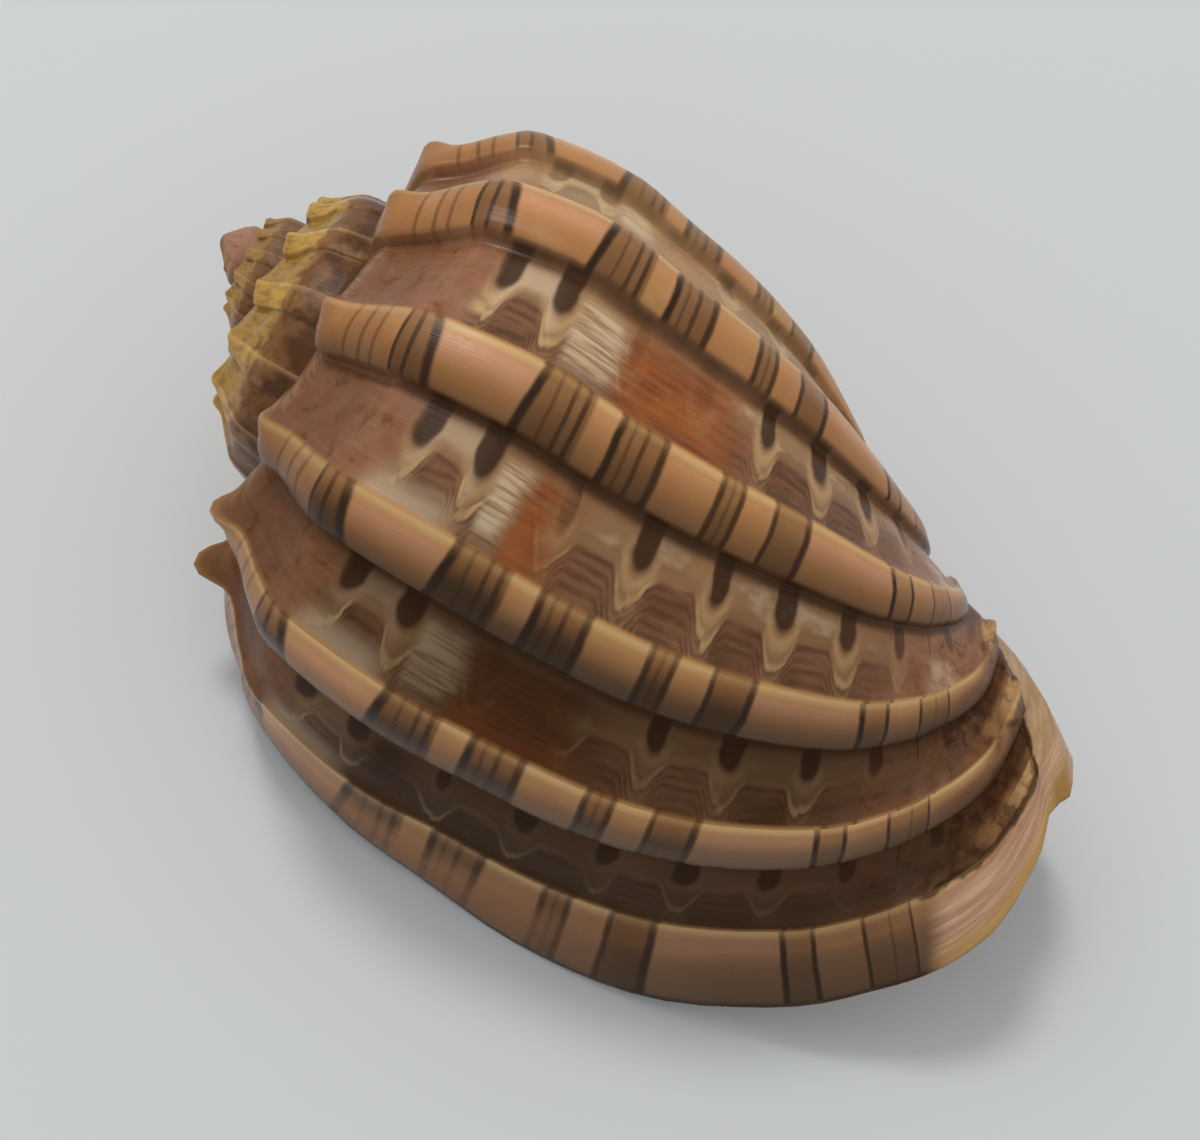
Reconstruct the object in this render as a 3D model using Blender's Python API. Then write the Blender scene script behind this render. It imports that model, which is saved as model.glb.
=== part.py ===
"""Harp shell: the shell of a harp snail, dextral, resting on its aperture.

One generating curve, written once as a table, is carried round the coiling
axis; every turn is WHORL_RATIO times the turn before it.  A point of the
shell wall is named by two numbers: the growth angle g, in degrees round the
axis with the last rib at 0, and the place t along the curve, 0 at the suture
and 20 on the pillar.  Lengths in the tables are in shell units, a hundred
and eight of which make the shell's length.
"""
import math

import bpy
import numpy as np
from mathutils import Matrix

# Overall size and growth
SHELL_LENGTH = 0.070        # apex to the end of the pillar, metres
LENGTH_UNITS = 108.0        # the same length in shell units
WHORL_RATIO = 2.056         # growth in size over one turn
TURNS = 4                   # turns before the last rib

# Ribs: twelve a turn, each a level face with a sharp step behind it
RIBS_PER_TURN = 12
RIB_PITCH = 360.0 / RIBS_PER_TURN
FACE_SHARE = 0.36           # share of the rib spacing taken by the rib face
STEP_SHARE = 0.04           # share taken by the step down from the face
FACE_BULGE = 0.13           # how far the face swells above its two edges
FACE_FALL = 0.32            # how far the face has dropped at its far edge
FLOOR_DROP = 1.10           # depth of the groove floor at the step
FLOOR_RISE = 0.90           # how much of that the floor regains before the next rib
SPINE = 1.2                 # height of the spine each rib bears on the shoulder
SPINE_PLACE = 2.1           # place of the spines along the curve
SPINE_SPAN = 0.38
SPINE_SHARE = 0.55          # share of the rib face they take
SPINE_RISE = 60.0           # last degrees over which the spines grow longer
LAST_SPINES = 1.55          # by how many spine heights
NODULE_PLACE = 14.9         # place of the ridge where the ribs end in lumps
NODULE_SPAN = 0.42
NODULE_SIZE = 0.75          # height of its lumps, in spines
RIDGE = 0.6                 # height of the ridge itself
DENT = (1.7, -128.0, 26.0, 9.4, 1.9)    # a shallow place: depth, growth angle, span, place, span
RIB_DRIFT = (0.0, -1.4, 1.6, 2.0, -0.7, -0.9, 0.0)   # uneven spacing, degrees
COVERED_RIB = 0.35          # height left to ribs under a later whorl
FIRST_RIB = -1260.0         # growth angle at which ribs begin to rise
WORN = 0.7                  # how much weaker the ribs of the spire are below its shoulder
WORN_START = -345.0
WORN_TURN = 60.0

# Apex
APEX_DROP = 0.1             # the top of the first whorl, below the spiral's origin
APEX_TURN = 150.0           # degrees over which the first whorl swells
LEAN = (2.6, -450.0, 85.0)  # how far the spire stands off the axis, where, span
NARROW = (0.13, -600.0, 200.0)   # how much slimmer the first whorls are, from where, over what

# Outer lip
LIP_ANGLE = RIB_PITCH * (FACE_SHARE + STEP_SHARE)
LIP_STRETCH = (1.17, 1.6)   # widening of the lip face at the side and at the pillar end
LIP_FLARE = 6.4             # how far the lip spreads beyond the spiral
LIP_SHOULDER = (0.28, 3.1, 0.9)     # more spread below the spine: share, place, span
LIP_TOOTH = (0.4, 16.7, 0.36)   # forward point beside the canal: size, place, span
LIP_NOTCH = (0.35, 15.5, 0.5)   # the notch next to it
LIP_ROUND = 0.35            # how far the lip edge is rounded forward

# Cavity and pillar
CAVITY_TURN = 270           # degrees of the last whorl that are hollow
BLIND_DEPTH = 14.0          # degrees by which its blind end is hollowed
PILLAR_WALL = 6.3           # wall height where the sheets meet the pillar
PILLAR_SWELL = 4.6          # extra radius of the pillar at its thickest
SWELL_HEIGHT = 76.0
SWELL_SPAN = 17.0
SWELL_REACH = 8.0
TIP_HEIGHT = 108.0
TIP_TAPER = 0.8             # sharpness of the end of the pillar
TIP_BEND = (2.2, 240.0)     # how far its tip is bent aside, and towards which angle
TIP_SLIM = 0.55             # narrowing of the pillar on its way to the tip
SLIM_HEIGHT = 92.0          # where that begins, and how far from the axis it reaches
SLIM_REACH = 4.5

# Resting pose: turn about the coiling axis, rise of the apex and heading, degrees
REST_SPIN = 81.1
REST_TILT = 9.4
REST_HEADING = 180.0

# radius, distance below the apex, lag angle, groove depth, wall thickness
CURVE = np.array((
    (19.4, 19.5, 7.0, 0.0, 1.0),
    (23.5, 18.6, 10.0, 1.2, 1.8),
    (27.6, 18.8, 12.5, 2.4, 1.8),
    (31.1, 22.4, 9.5, 2.8, 1.8),
    (35.1, 26.2, 7.0, 2.7, 1.7),
    (38.0, 30.5, 5.1, 2.5, 1.6),
    (40.2, 43.1, 2.3, 2.3, 1.6),
    (39.4, 53.6, 1.8, 2.2, 1.6),
    (38.2, 66.2, 0.0, 2.2, 1.6),
    (35.4, 78.3, -3.6, 2.1, 1.6),
    (29.9, 90.4, -9.4, 1.9, 1.6),
    (25.1, 98.3, -17.7, 1.7, 1.6),
    (22.2, 103.0, -25.9, 1.6, 1.6),
    (19.5, 107.7, -37.0, 1.4, 1.7),
    (17.4, 112.1, -52.0, 1.1, 1.9),
    (15.9, 116.6, -75.0, 0.7, 2.2),
    (14.9, 120.5, -90.0, 0.0, 2.4),
    (14.2, 125.0, -111.0, 0.0, 2.4),
    (11.0, 129.0, -125.0, 0.0, 2.4),
    (7.2, 131.3, -133.0, 0.0, 2.4),
    (4.6, 132.3, -138.0, 0.0, 2.4),
))

# Where the faces are laid: rib phases, places along the curve outside and in
PHASES = (0.0, 0.16, FACE_SHARE, FACE_SHARE + STEP_SHARE, 0.62, 0.86)
OUTER_ROWS = (0.0, 0.7, 1.5, 2.0, 2.6, 3.6, 4.7, 5.75, 6.15, 7.0, 8.0, 9.0,
              10.4, 12.0, 13.3, 14.4, 15.3, 16.2, 17.2, 18.4, 20.0)
INNER_ROWS = (0.0, 1.2, 2.2, 3.6, 5.5, 7.0, 8.5, 10.0, 11.5, 13.0, 14.5, 16.5,
              18.3, 20.0)
SUTURE_ROW = 7              # outer row that the next whorl is joined to
SUTURE_BLEND = 2.2          # stretch of the curve that is drawn to the suture
PILLAR_BLEND = 4.0          # stretch of the inner curve drawn to the pillar
PILLAR_STEPS = 3
TIP_STEPS = 3

GROWTH = math.log(WHORL_RATIO) / (2.0 * math.pi)
PILLAR_SLOPE = CURVE[-1, 0] / CURVE[-1, 1]


def ease(x):
    """Smooth step from 0 at x=0 to 1 at x=1."""
    x = np.clip(x, 0.0, 1.0)
    return x * x * (3.0 - 2.0 * x)


def along_curve(t):
    """Rows of CURVE at places t, on a smooth curve through the table."""
    t = np.clip(np.asarray(t, float), 0.0, len(CURVE) - 1 - 1e-9)
    i = t.astype(int)
    f = (t - i)[:, None]
    ends = np.vstack((2 * CURVE[0] - CURVE[1], CURVE, 2 * CURVE[-1] - CURVE[-2]))
    a, b, c, d = ends[i], ends[i + 1], ends[i + 2], ends[i + 3]
    bend = (2 * a - 5 * b + 4 * c - d) * f ** 2 + (3 * b - a - 3 * c + d) * f ** 3
    return b + 0.5 * ((c - a) * f + bend)


def groove(phase):
    """Depth below the rib envelope over one rib spacing, in groove depths."""
    u = phase / FACE_SHARE
    face = FACE_FALL * u ** 3 - FACE_BULGE * np.sin(np.pi * np.clip(u, 0.0, 1.0))
    start = FACE_SHARE + STEP_SHARE
    step = FACE_FALL + (FLOOR_DROP - FACE_FALL) * ease((phase - FACE_SHARE) / STEP_SHARE)
    w = np.clip((phase - start) / (1.0 - start), 0.0, 1.0)
    last = FLOOR_DROP - FLOOR_RISE
    floor = FLOOR_DROP - FLOOR_RISE * w - last * ease((w - 0.86) / 0.14)
    return np.where(phase < FACE_SHARE, face, np.where(phase < start, step, floor))


def mound(x, centre, span):
    """A smooth mound of height 1."""
    return np.exp(-((np.asarray(x) - centre) / span) ** 2)


def drift(g):
    """Uneven spacing of the last ribs, in degrees."""
    n = np.clip(-g / RIB_PITCH, 0.0, 6.0)
    i = np.minimum(n.astype(int), 5)
    table = np.array(RIB_DRIFT)
    return table[i] + (table[i + 1] - table[i]) * ease(n - i)


def spiral(g, t):
    """Points of the bare spiral sheet, their scale and the curve rows."""
    rows = along_curve(t)
    wide, wider = LIP_STRETCH
    stretch = wide + (wider - wide) * ease((np.asarray(t) - 10.0) / 4.0)
    stretch = stretch + LIP_TOOTH[0] * mound(t, *LIP_TOOTH[1:])
    stretch = stretch - LIP_NOTCH[0] * mound(t, *LIP_NOTCH[1:])
    late = np.clip(g, 0.0, None)[:, None] * stretch[None, :]
    turn = np.minimum(g, 0.0)[:, None] + late + drift(g)[:, None] + rows[None, :, 2]
    angle = np.radians(turn)
    scale = np.exp(GROWTH * angle)
    slimmer = NARROW[0] * ease((NARROW[1] - g) / NARROW[2])[:, None]
    r = rows[None, :, 0] * scale * (1.0 - slimmer)
    points = np.stack((r * np.cos(angle), -r * np.sin(angle), -rows[None, :, 1] * scale), -1)
    high_up = 1.0 - ease((np.asarray(t) - 6.5) / 6.0)
    points[..., 0] += LEAN[0] * mound(g, *LEAN[1:])[:, None] * high_up
    return points, scale, rows


def outward(g, t):
    """Unit normals of the bare spiral sheet, pointing out of the shell."""
    inside = np.clip(t, 0.01, len(CURVE) - 1.01)
    with_growth = spiral(g + 0.05, inside)[0] - spiral(g - 0.05, inside)[0]
    down_curve = spiral(g, inside + 0.01)[0] - spiral(g, inside - 0.01)[0]
    n = np.cross(with_growth, down_curve)
    return n / np.linalg.norm(n, axis=-1, keepdims=True)


def flare(t, rows):
    """How far the lip spreads beyond the spiral at each place on the curve."""
    rise = ease((np.asarray(t) - 3.0) / 6.5) + LIP_SHOULDER[0] * mound(t, *LIP_SHOULDER[1:])
    return LIP_FLARE * rise * np.clip(rows[:, 3] / 2.2, 0.0, 1.1)


def sunk(g, t):
    """How far the whole wall lies below the rule at each place."""
    deep, growth, span, place, reach = DENT
    return deep * mound(g, growth, span)[:, None] * mound(t, place, reach)[None, :]


def spines(g, t, height):
    """Spines on the shoulder and lumps at the pillar end, one of each to a rib."""
    phase = np.mod(g, RIB_PITCH) / RIB_PITCH
    wide = SPINE_SHARE * FACE_SHARE
    across = ease((wide - phase) / wide) + ease((phase - 0.93) / 0.07)
    longer = 1.0 + LAST_SPINES * ease((g + SPINE_RISE) / SPINE_RISE)[:, None]
    peak = height * mound(t, SPINE_PLACE, SPINE_SPAN) * longer
    shown = ease((g - LIP_ANGLE + 350.0) / 30.0)[:, None]
    lumps = mound(t, NODULE_PLACE, NODULE_SPAN) * shown
    return SPINE * across[:, None] * (peak + NODULE_SIZE * lumps) + RIDGE * lumps


def outer_sheet(g, t):
    """Outside of the shell wall: ribs, grooves and the flared lip."""
    points, scale, rows = spiral(g, t)
    phase = np.mod(g, RIB_PITCH) / RIB_PITCH
    hidden = ease((LIP_ANGLE - 335.0 - g) / 40.0)[:, None] * ease(np.asarray(t) - 5.75)[None, :]
    height = 1.0 - (1.0 - COVERED_RIB) * hidden
    height = height * ease((g - FIRST_RIB) / 180.0)[:, None]
    worn = ease((WORN_START - g) / WORN_TURN)[:, None] * ease((np.asarray(t) - 2.6) / 1.2)
    depth = height * (1.0 - WORN * worn) * groove(phase)[:, None] * rows[None, :, 3]
    along_lip = np.clip(g / LIP_ANGLE, 0.0, 1.0)[:, None]
    spread = flare(t, rows)[None, :] * 0.5 * (along_lip + ease(along_lip))
    depth = np.where(g[:, None] > 0.0, -spread, depth)
    depth = depth + sunk(g, t) - spines(g, t, height)
    return points - outward(g, t) * (depth * scale)[..., None]


def inner_sheet(g, t):
    """Inside of the shell wall."""
    points, scale, rows = spiral(g, t)
    near_lip = ease((g + 6.0) / (LIP_ANGLE + 6.0))[:, None]
    depth = (rows[:, 3] * FLOOR_DROP + rows[:, 4])[None, :]
    depth = depth - 0.75 * near_lip * flare(t, rows)[None, :] + sunk(g, t)
    return points - outward(g, t) * (depth * scale)[..., None]


def on_pillar(angle, z, radius):
    """A point at an angle round the coiling axis and z below the apex."""
    return np.array((radius * math.cos(angle), -radius * math.sin(angle), -z))


def on_tip(angle, share, z_end, r_end):
    """A point on the bent end of the pillar, share of the way to its tip."""
    reach, aim = TIP_BEND
    aside = on_pillar(math.radians(aim), 0.0, reach * share ** 2)
    z = z_end + (TIP_HEIGHT - z_end) * share
    return on_pillar(angle, z, r_end * (1.0 - share) ** TIP_TAPER) + aside


def swell(points):
    """Thicken the pillar where the siphonal end of the shell winds onto it."""
    r = np.hypot(points[:, 0], points[:, 1])
    z = -points[:, 2]
    bulge = PILLAR_SWELL * np.exp(-((z - SWELL_HEIGHT) / SWELL_SPAN) ** 2)
    grown = r + bulge * np.exp(-np.maximum(r - PILLAR_SLOPE * z, 0.0) / SWELL_REACH)
    slim = TIP_SLIM * ease((z - SLIM_HEIGHT) / (TIP_HEIGHT - SLIM_HEIGHT))
    grown = grown * (1.0 - slim * np.exp(-(r / SLIM_REACH) ** 2))
    factor = np.where(r > 1e-9, grown / np.maximum(r, 1e-9), 1.0)
    return points * np.stack((factor, factor, np.ones_like(factor)), 1)


class Skin:
    """Points and faces of one closed surface."""

    def __init__(self):
        self.points = []
        self.faces = []

    def add(self, point):
        self.points.append(np.asarray(point, float))
        return len(self.points) - 1

    def face(self, a, b, c):
        if len({a, b, c}) == 3:
            self.faces.append((a, c, b))

    def quad(self, a, b, c, d):
        self.face(a, b, c)
        self.face(a, c, d)

    def strip(self, left, right):
        """Faces between two chains of points that may differ in number."""
        spans = []
        for chain in (left, right):
            ends = np.array([self.points[i] for i in chain])
            steps = np.linalg.norm(np.diff(ends, axis=0), axis=1)
            spans.append(np.append(0.0, np.cumsum(steps)) / steps.sum())
        i = j = 0
        while i < len(left) - 1 or j < len(right) - 1:
            if j == len(right) - 1 or (i < len(left) - 1 and spans[0][i + 1] <= spans[1][j + 1]):
                self.face(left[i], left[i + 1], right[j])
                i += 1
            else:
                self.face(left[i], right[j + 1], right[j])
                j += 1

    def polar(self, index):
        """Angle, distance below the apex and radius of a point."""
        x, y, z = self.points[index]
        return math.atan2(-y, x), -z, math.hypot(x, y)

    def between(self, a, b, share, back=0.0):
        """A new point between two others, round the axis and not through it."""
        angle_a, z_a, r_a = self.polar(a)
        angle_b, z_b, r_b = self.polar(b)
        turn = (angle_b - angle_a + math.pi) % (2.0 * math.pi) - math.pi
        angle = angle_a + turn * share - math.radians(back) * math.sin(math.pi * share)
        return self.add(on_pillar(angle, z_a + (z_b - z_a) * share, r_a + (r_b - r_a) * share))


def build_shell():
    """Sew the sheets, the pillar, the lip edge and the blind end into one skin."""
    skin = Skin()
    turn = len(PHASES) * RIBS_PER_TURN
    lip = TURNS * turn + PHASES.index(FACE_SHARE + STEP_SHARE)
    blind = lip - round(CAVITY_TURN / 360.0 * turn)
    column = np.arange(lip + 1)
    phase = np.array(PHASES)[column % len(PHASES)]
    g = RIB_PITCH * (column // len(PHASES) + phase) - 360.0 * TURNS
    outer_t = np.array(OUTER_ROWS)
    inner_t = np.array(INNER_ROWS)
    last = len(outer_t) - 1
    inner_last = len(inner_t) - 1

    # outside of every whorl; its first row is the suture on the whorl before
    pole = skin.add((0.0, 0.0, -APEX_DROP))
    sheet = outer_sheet(g, outer_t)
    begun = np.clip((g - g[0]) / APEX_TURN, 0.0, 1.0)
    begun = np.sqrt(begun * (2.0 - begun))[:, None]
    begun = np.stack((begun, begun, begun ** 3), -1)
    sheet = skin.points[pole] + begun * (sheet - skin.points[pole])
    draw = 1.0 - ease(outer_t / SUTURE_BLEND)
    outer = np.full((lip + 1, last + 1), -1)
    for c in column:
        outer[c, 0] = pole if c < turn else outer[c - turn, SUTURE_ROW]
        shift = skin.points[outer[c, 0]] - sheet[c, 0]
        for j in range(1, (SUTURE_ROW if c < blind - turn else last) + 1):
            outer[c, j] = skin.add(sheet[c, j] + shift * draw[j]) if c else pole
    for c in range(lip):
        for j in range(last):
            covered = j == SUTURE_ROW and c < lip - turn
            unseen = j >= SUTURE_ROW and c < blind - turn
            if not (covered or unseen):
                skin.quad(outer[c, j], outer[c, j + 1], outer[c + 1, j + 1], outer[c + 1, j])

    # inside of the last whorl, from the suture to the pillar
    sheet = inner_sheet(g, inner_t)
    draw = 1.0 - ease(inner_t / SUTURE_BLEND)
    settle = ease((inner_t - inner_t[-1] + PILLAR_BLEND) / PILLAR_BLEND)
    inner = np.full((lip + 1, inner_last + 1), -1)
    for c in range(blind, lip + 1):
        inner[c, 0] = outer[c - turn, SUTURE_ROW + 1]
        lift = skin.points[inner[c, 0]] - sheet[c, 0]
        angle, z, _ = skin.polar(outer[c, last])
        z *= 1.0 - PILLAR_WALL / CURVE[-1, 1]
        land = on_pillar(angle, z, PILLAR_SLOPE * z) - sheet[c, inner_last]
        for j in range(1, inner_last + 1):
            inner[c, j] = skin.add(sheet[c, j] + lift * draw[j] + land * settle[j])
    for c in range(blind, lip):
        for j in range(inner_last):
            skin.quad(inner[c, j], inner[c + 1, j], inner[c + 1, j + 1], inner[c, j + 1])

    # pillar inside the cavity
    pillar = {}
    for c in range(blind, lip + 1):
        low, high = inner[c, inner_last], outer[c - turn, last]
        steps = [skin.between(low, high, m / PILLAR_STEPS) for m in range(1, PILLAR_STEPS)]
        pillar[c] = [low] + steps + [high]
    for c in range(blind, lip):
        for m in range(PILLAR_STEPS):
            skin.quad(pillar[c][m], pillar[c + 1][m], pillar[c + 1][m + 1], pillar[c][m + 1])

    # blind end of the cavity, in levels from its roof to the whorl before
    wall_t = outer_t[SUTURE_ROW + 1:]
    wall = outer[blind - turn, SUTURE_ROW + 1:]
    match = wall_t[0] + (wall_t[-1] - wall_t[0]) * (inner_t / inner_t[-1]) ** 1.5
    partner = [wall[np.argmin(abs(wall_t - t))] for t in match]
    level = list(inner[blind])
    for m in range(1, PILLAR_STEPS):
        pairs = list(zip(inner[blind], partner))[1:-1]
        middle = [skin.between(a, b, m / PILLAR_STEPS, BLIND_DEPTH) for a, b in pairs]
        lower = [wall[0]] + middle + [pillar[blind][m]]
        skin.strip(level, lower)
        level = lower
    skin.strip(level, list(wall))

    # rounded edge of the lip
    edge = np.array([skin.points[i] for i in outer[lip]])
    ahead = spiral(g[-1:] + 0.5, inner_t)[0][0] - spiral(g[-1:] - 0.5, inner_t)[0][0]
    ahead /= np.linalg.norm(ahead, axis=1, keepdims=True)
    fade = 1.0 - ease((inner_t - 14.0) / 3.0)
    rim = [inner[lip, 0]]
    for j in range(1, inner_last):
        outside = np.array([np.interp(inner_t[j], outer_t, edge[:, k]) for k in range(3)])
        inside = skin.points[inner[lip, j]]
        width = LIP_ROUND * np.linalg.norm(outside - inside) * fade[j]
        rim.append(skin.add((outside + inside) / 2.0 + ahead[j] * width))
    rim.append(inner[lip, inner_last])
    skin.strip(list(outer[lip]), rim)
    skin.strip(rim, list(inner[lip]))

    # end of the pillar, below the line where the shell wall leaves it
    end, z_end, r_end = skin.polar(outer[lip, last])
    tip = skin.add(on_tip(0.0, 1.0, z_end, r_end))
    shares = [m / TIP_STEPS for m in range(1, TIP_STEPS)]
    shared = [skin.add(on_tip(end, share, z_end, r_end)) for share in shares]
    before = [outer[lip - turn, last]] + pillar[lip][::-1][1:] + [outer[lip, last]]
    most = len(before) - 1
    before += shared
    for c in range(lip - turn + 1, lip + 1):
        here = [outer[c, last]]
        if c < lip:
            foot = end - 2.0 * math.pi * (lip - c) / turn
            base = skin.add(on_pillar(foot, z_end, r_end))
            steps = max(1, round(most * (lip - c) / turn))
            here += [skin.between(here[0], base, m / steps) for m in range(1, steps)]
            here += [base]
            here += [skin.add(on_tip(foot, share, z_end, r_end)) for share in shares]
        else:
            here += shared
        skin.strip(before + [tip], here + [tip])
        before = here
    return skin


def rest_pose(points):
    """Lay the shell on its aperture, centred over the origin, and size it."""
    spin = Matrix.Rotation(math.radians(REST_SPIN), 3, "Z")
    lie = Matrix.Rotation(math.radians(90.0 - REST_TILT), 3, "Y")
    head = Matrix.Rotation(math.radians(REST_HEADING), 3, "Z")
    turned = points @ np.array(head @ lie @ spin).T * (SHELL_LENGTH / LENGTH_UNITS)
    low, high = turned.min(axis=0), turned.max(axis=0)
    return turned - np.array(((low[0] + high[0]) / 2.0, (low[1] + high[1]) / 2.0, low[2]))


def shell_material():
    """Glossy peach-brown shell."""
    material = bpy.data.materials.new("harp_shell_enamel")
    material.use_nodes = True
    principled = material.node_tree.nodes["Principled BSDF"]
    principled.inputs["Base Color"].default_value = (0.42, 0.24, 0.15, 1.0)
    principled.inputs["Roughness"].default_value = 0.35
    principled.inputs["Metallic"].default_value = 0.0
    return material


def main():
    for item in list(bpy.data.objects):
        bpy.data.objects.remove(item, do_unlink=True)
    collection = bpy.data.collections.new("harp_shell")
    bpy.context.scene.collection.children.link(collection)

    skin = build_shell()
    points = rest_pose(swell(np.array(skin.points)))
    mesh = bpy.data.meshes.new("harp_shell")
    mesh.from_pydata(points.tolist(), [], skin.faces)
    mesh.materials.append(shell_material())
    mesh.polygons.foreach_set("use_smooth", [True] * len(mesh.polygons))
    mesh.update()
    shell = bpy.data.objects.new("harp_shell", mesh)
    collection.objects.link(shell)


main()
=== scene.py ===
"""Harp shell: coil, ribs, enamel, floor and light, laid out as an add-on.

The shell wall is one sewn skin.  Each of its points is kept unwound, as it
would stand on the last rib, with its growth angle beside it; a Geometry Nodes
tree raises the ribs, spines and lip on it, winds it round the coiling axis by
the rule of the shell (every whorl WHORL_RATIO times the whorl before) and lays
it on its aperture.  A place on the wall is named by two numbers, the growth
angle g in degrees, 0 at the last rib, and the place t along the generating
curve, 0 at the suture and 20 on the pillar.  The enamel reads the same two.
"""
import math

import bpy
import numpy as np
from mathutils import Matrix


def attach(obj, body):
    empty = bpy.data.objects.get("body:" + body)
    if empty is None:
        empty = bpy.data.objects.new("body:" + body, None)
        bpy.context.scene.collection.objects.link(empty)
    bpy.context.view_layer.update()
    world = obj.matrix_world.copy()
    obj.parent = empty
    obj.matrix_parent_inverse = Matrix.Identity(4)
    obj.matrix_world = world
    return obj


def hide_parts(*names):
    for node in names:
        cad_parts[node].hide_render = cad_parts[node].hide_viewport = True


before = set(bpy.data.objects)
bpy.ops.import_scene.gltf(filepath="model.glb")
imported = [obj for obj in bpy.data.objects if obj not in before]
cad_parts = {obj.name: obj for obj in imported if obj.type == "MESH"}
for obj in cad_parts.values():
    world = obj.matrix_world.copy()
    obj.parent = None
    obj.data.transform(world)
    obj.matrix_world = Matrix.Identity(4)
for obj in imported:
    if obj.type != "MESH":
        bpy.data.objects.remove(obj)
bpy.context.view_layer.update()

bl_info = {
    "name": "Harp Shell",
    "version": (1, 0, 0),
    "blender": (4, 5, 0),
    "location": "View3D > Sidebar > Harp Shell",
    "description": "Winds a ribbed harp shell and sets it on a pale floor",
    "category": "Add Mesh",
}

# ---------------------------------------------------------------- the coil
UNIT = 0.070 / 108.0        # metres in one shell unit
WHORL_RATIO = 2.056         # growth in size over one turn
TURNS = 4                   # turns before the last rib
RIBS_PER_TURN = 12
RIB_PITCH = 30.0            # degrees
FACE_SHARE = 0.36           # share of the rib spacing taken by the rib face
STEP_SHARE = 0.04           # share taken by the step down from the face
SPINE_PLACE = 2.1           # place of the shoulder spines along the curve
SPINE_SPAN = 0.38
SPINE_RISE = 60.0           # last degrees over which the spines grow longer
LAST_SPINES = 1.55          # by how many spine heights
NODULE_PLACE = 14.9         # place of the ridge where the ribs end in lumps
NODULE_SPAN = 0.42
NODULE_SIZE = 0.75          # height of its lumps, in spines
RIDGE = 0.6                 # height of the ridge itself, units
DENT = (1.7, -128.0, 26.0, 9.4, 1.9)    # a shallow place: depth, growth angle, span, place, span
RIB_DRIFT = (0.0, -1.4, 1.6, 2.0, -0.7, -0.9, 0.0)   # uneven spacing, degrees
COVERED_RIB = 0.35          # height left to ribs under a later whorl
FIRST_RIB = -1260.0         # growth angle at which ribs begin to rise
WORN = 0.7                  # how much weaker the ribs of the spire are below its shoulder
WORN_START = -345.0
WORN_TURN = 60.0
APEX_DROP = 0.1             # the top of the first whorl, below the spiral's origin
APEX_TURN = 150.0
LEAN = (2.6, -450.0, 85.0)  # how far the spire stands off the axis, where, span
NARROW = (0.13, -600.0, 200.0)   # how much slimmer the first whorls are, from where, over what
LIP_ANGLE = RIB_PITCH * (FACE_SHARE + STEP_SHARE)
LIP_STRETCH = (1.17, 1.6)   # widening of the lip face at the side and at the pillar end
LIP_TOOTH = (0.4, 16.7, 0.36)   # forward point beside the canal: size, place, span
LIP_NOTCH = (0.35, 15.5, 0.5)   # the notch next to it
LIP_SHOULDER = (0.28, 3.1, 0.9)     # more spread below the spine: share, place, span
LIP_ROUND = 0.35            # how far the lip edge is rounded forward
LIP_ROUND_END = (14.0, 3.0)     # where the rounding begins to end, and over what
LIP_LANES = (0.25, 0.6, 0.88)   # rows of points across the lip edge, as shares of its width
FULL_GROOVE = 2.2           # groove depth at which the lip spreads fully
MOST_FLARE = 1.1
LINING_FLARE = 0.75         # share of the lip flare that the lining takes
LINING_LEAD = 6.0           # degrees before the last rib at which it begins
STRETCH_TURN = (10.0, 4.0)  # where one stretch begins to give way to the other, and over what
LEAN_FADE = (6.5, 6.0)      # the same for the lean of the spire
FLARE_RISE = (3.0, 6.5)     # and for the spread of the lip
RIBS_RISE = 180.0           # degrees over which the first ribs grow to full height
WORN_PLACE = (2.6, 1.2)     # where below the shoulder the wear begins, and over what
COVERED = (335.0, 40.0)     # degrees before the lip at which ribs are covered, and over what
LUMPS_SHOWN = (350.0, 30.0)     # the same for the lumps of the pillar ridge
FLOOR_DEPTH = 1.10          # groove depth that the inside of the wall keeps clear of

# ---------------------------------------------------------------- the cavity
CAVITY_TURN = 270
BLIND_DEPTH = 14.0
BLIND_SPACING = 1.5         # how much closer its rows lie towards the suture
PILLAR_WALL = 6.3
PILLAR_SWELL = 4.6
SWELL_HEIGHT = 76.0
SWELL_SPAN = 17.0
SWELL_REACH = 8.0
TIP_HEIGHT = 108.0
TIP_TAPER = 0.8             # sharpness of the end of the pillar
TIP_BEND = (2.2, 240.0)     # how far its tip is bent aside, and towards which angle
TIP_SLIM = 0.55             # narrowing of the pillar on its way to the tip
SLIM_HEIGHT = 92.0          # where that begins, and how far from the axis it reaches
SLIM_REACH = 4.5

# ---------------------------------------------------------------- lying at rest
REST_SPIN = 81.1
REST_TILT = 9.4
REST_HEADING = 180.0
REST_CENTRE = (0.0346241, -0.0045282, -0.0182360)   # taken off to centre it, metres

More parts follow.
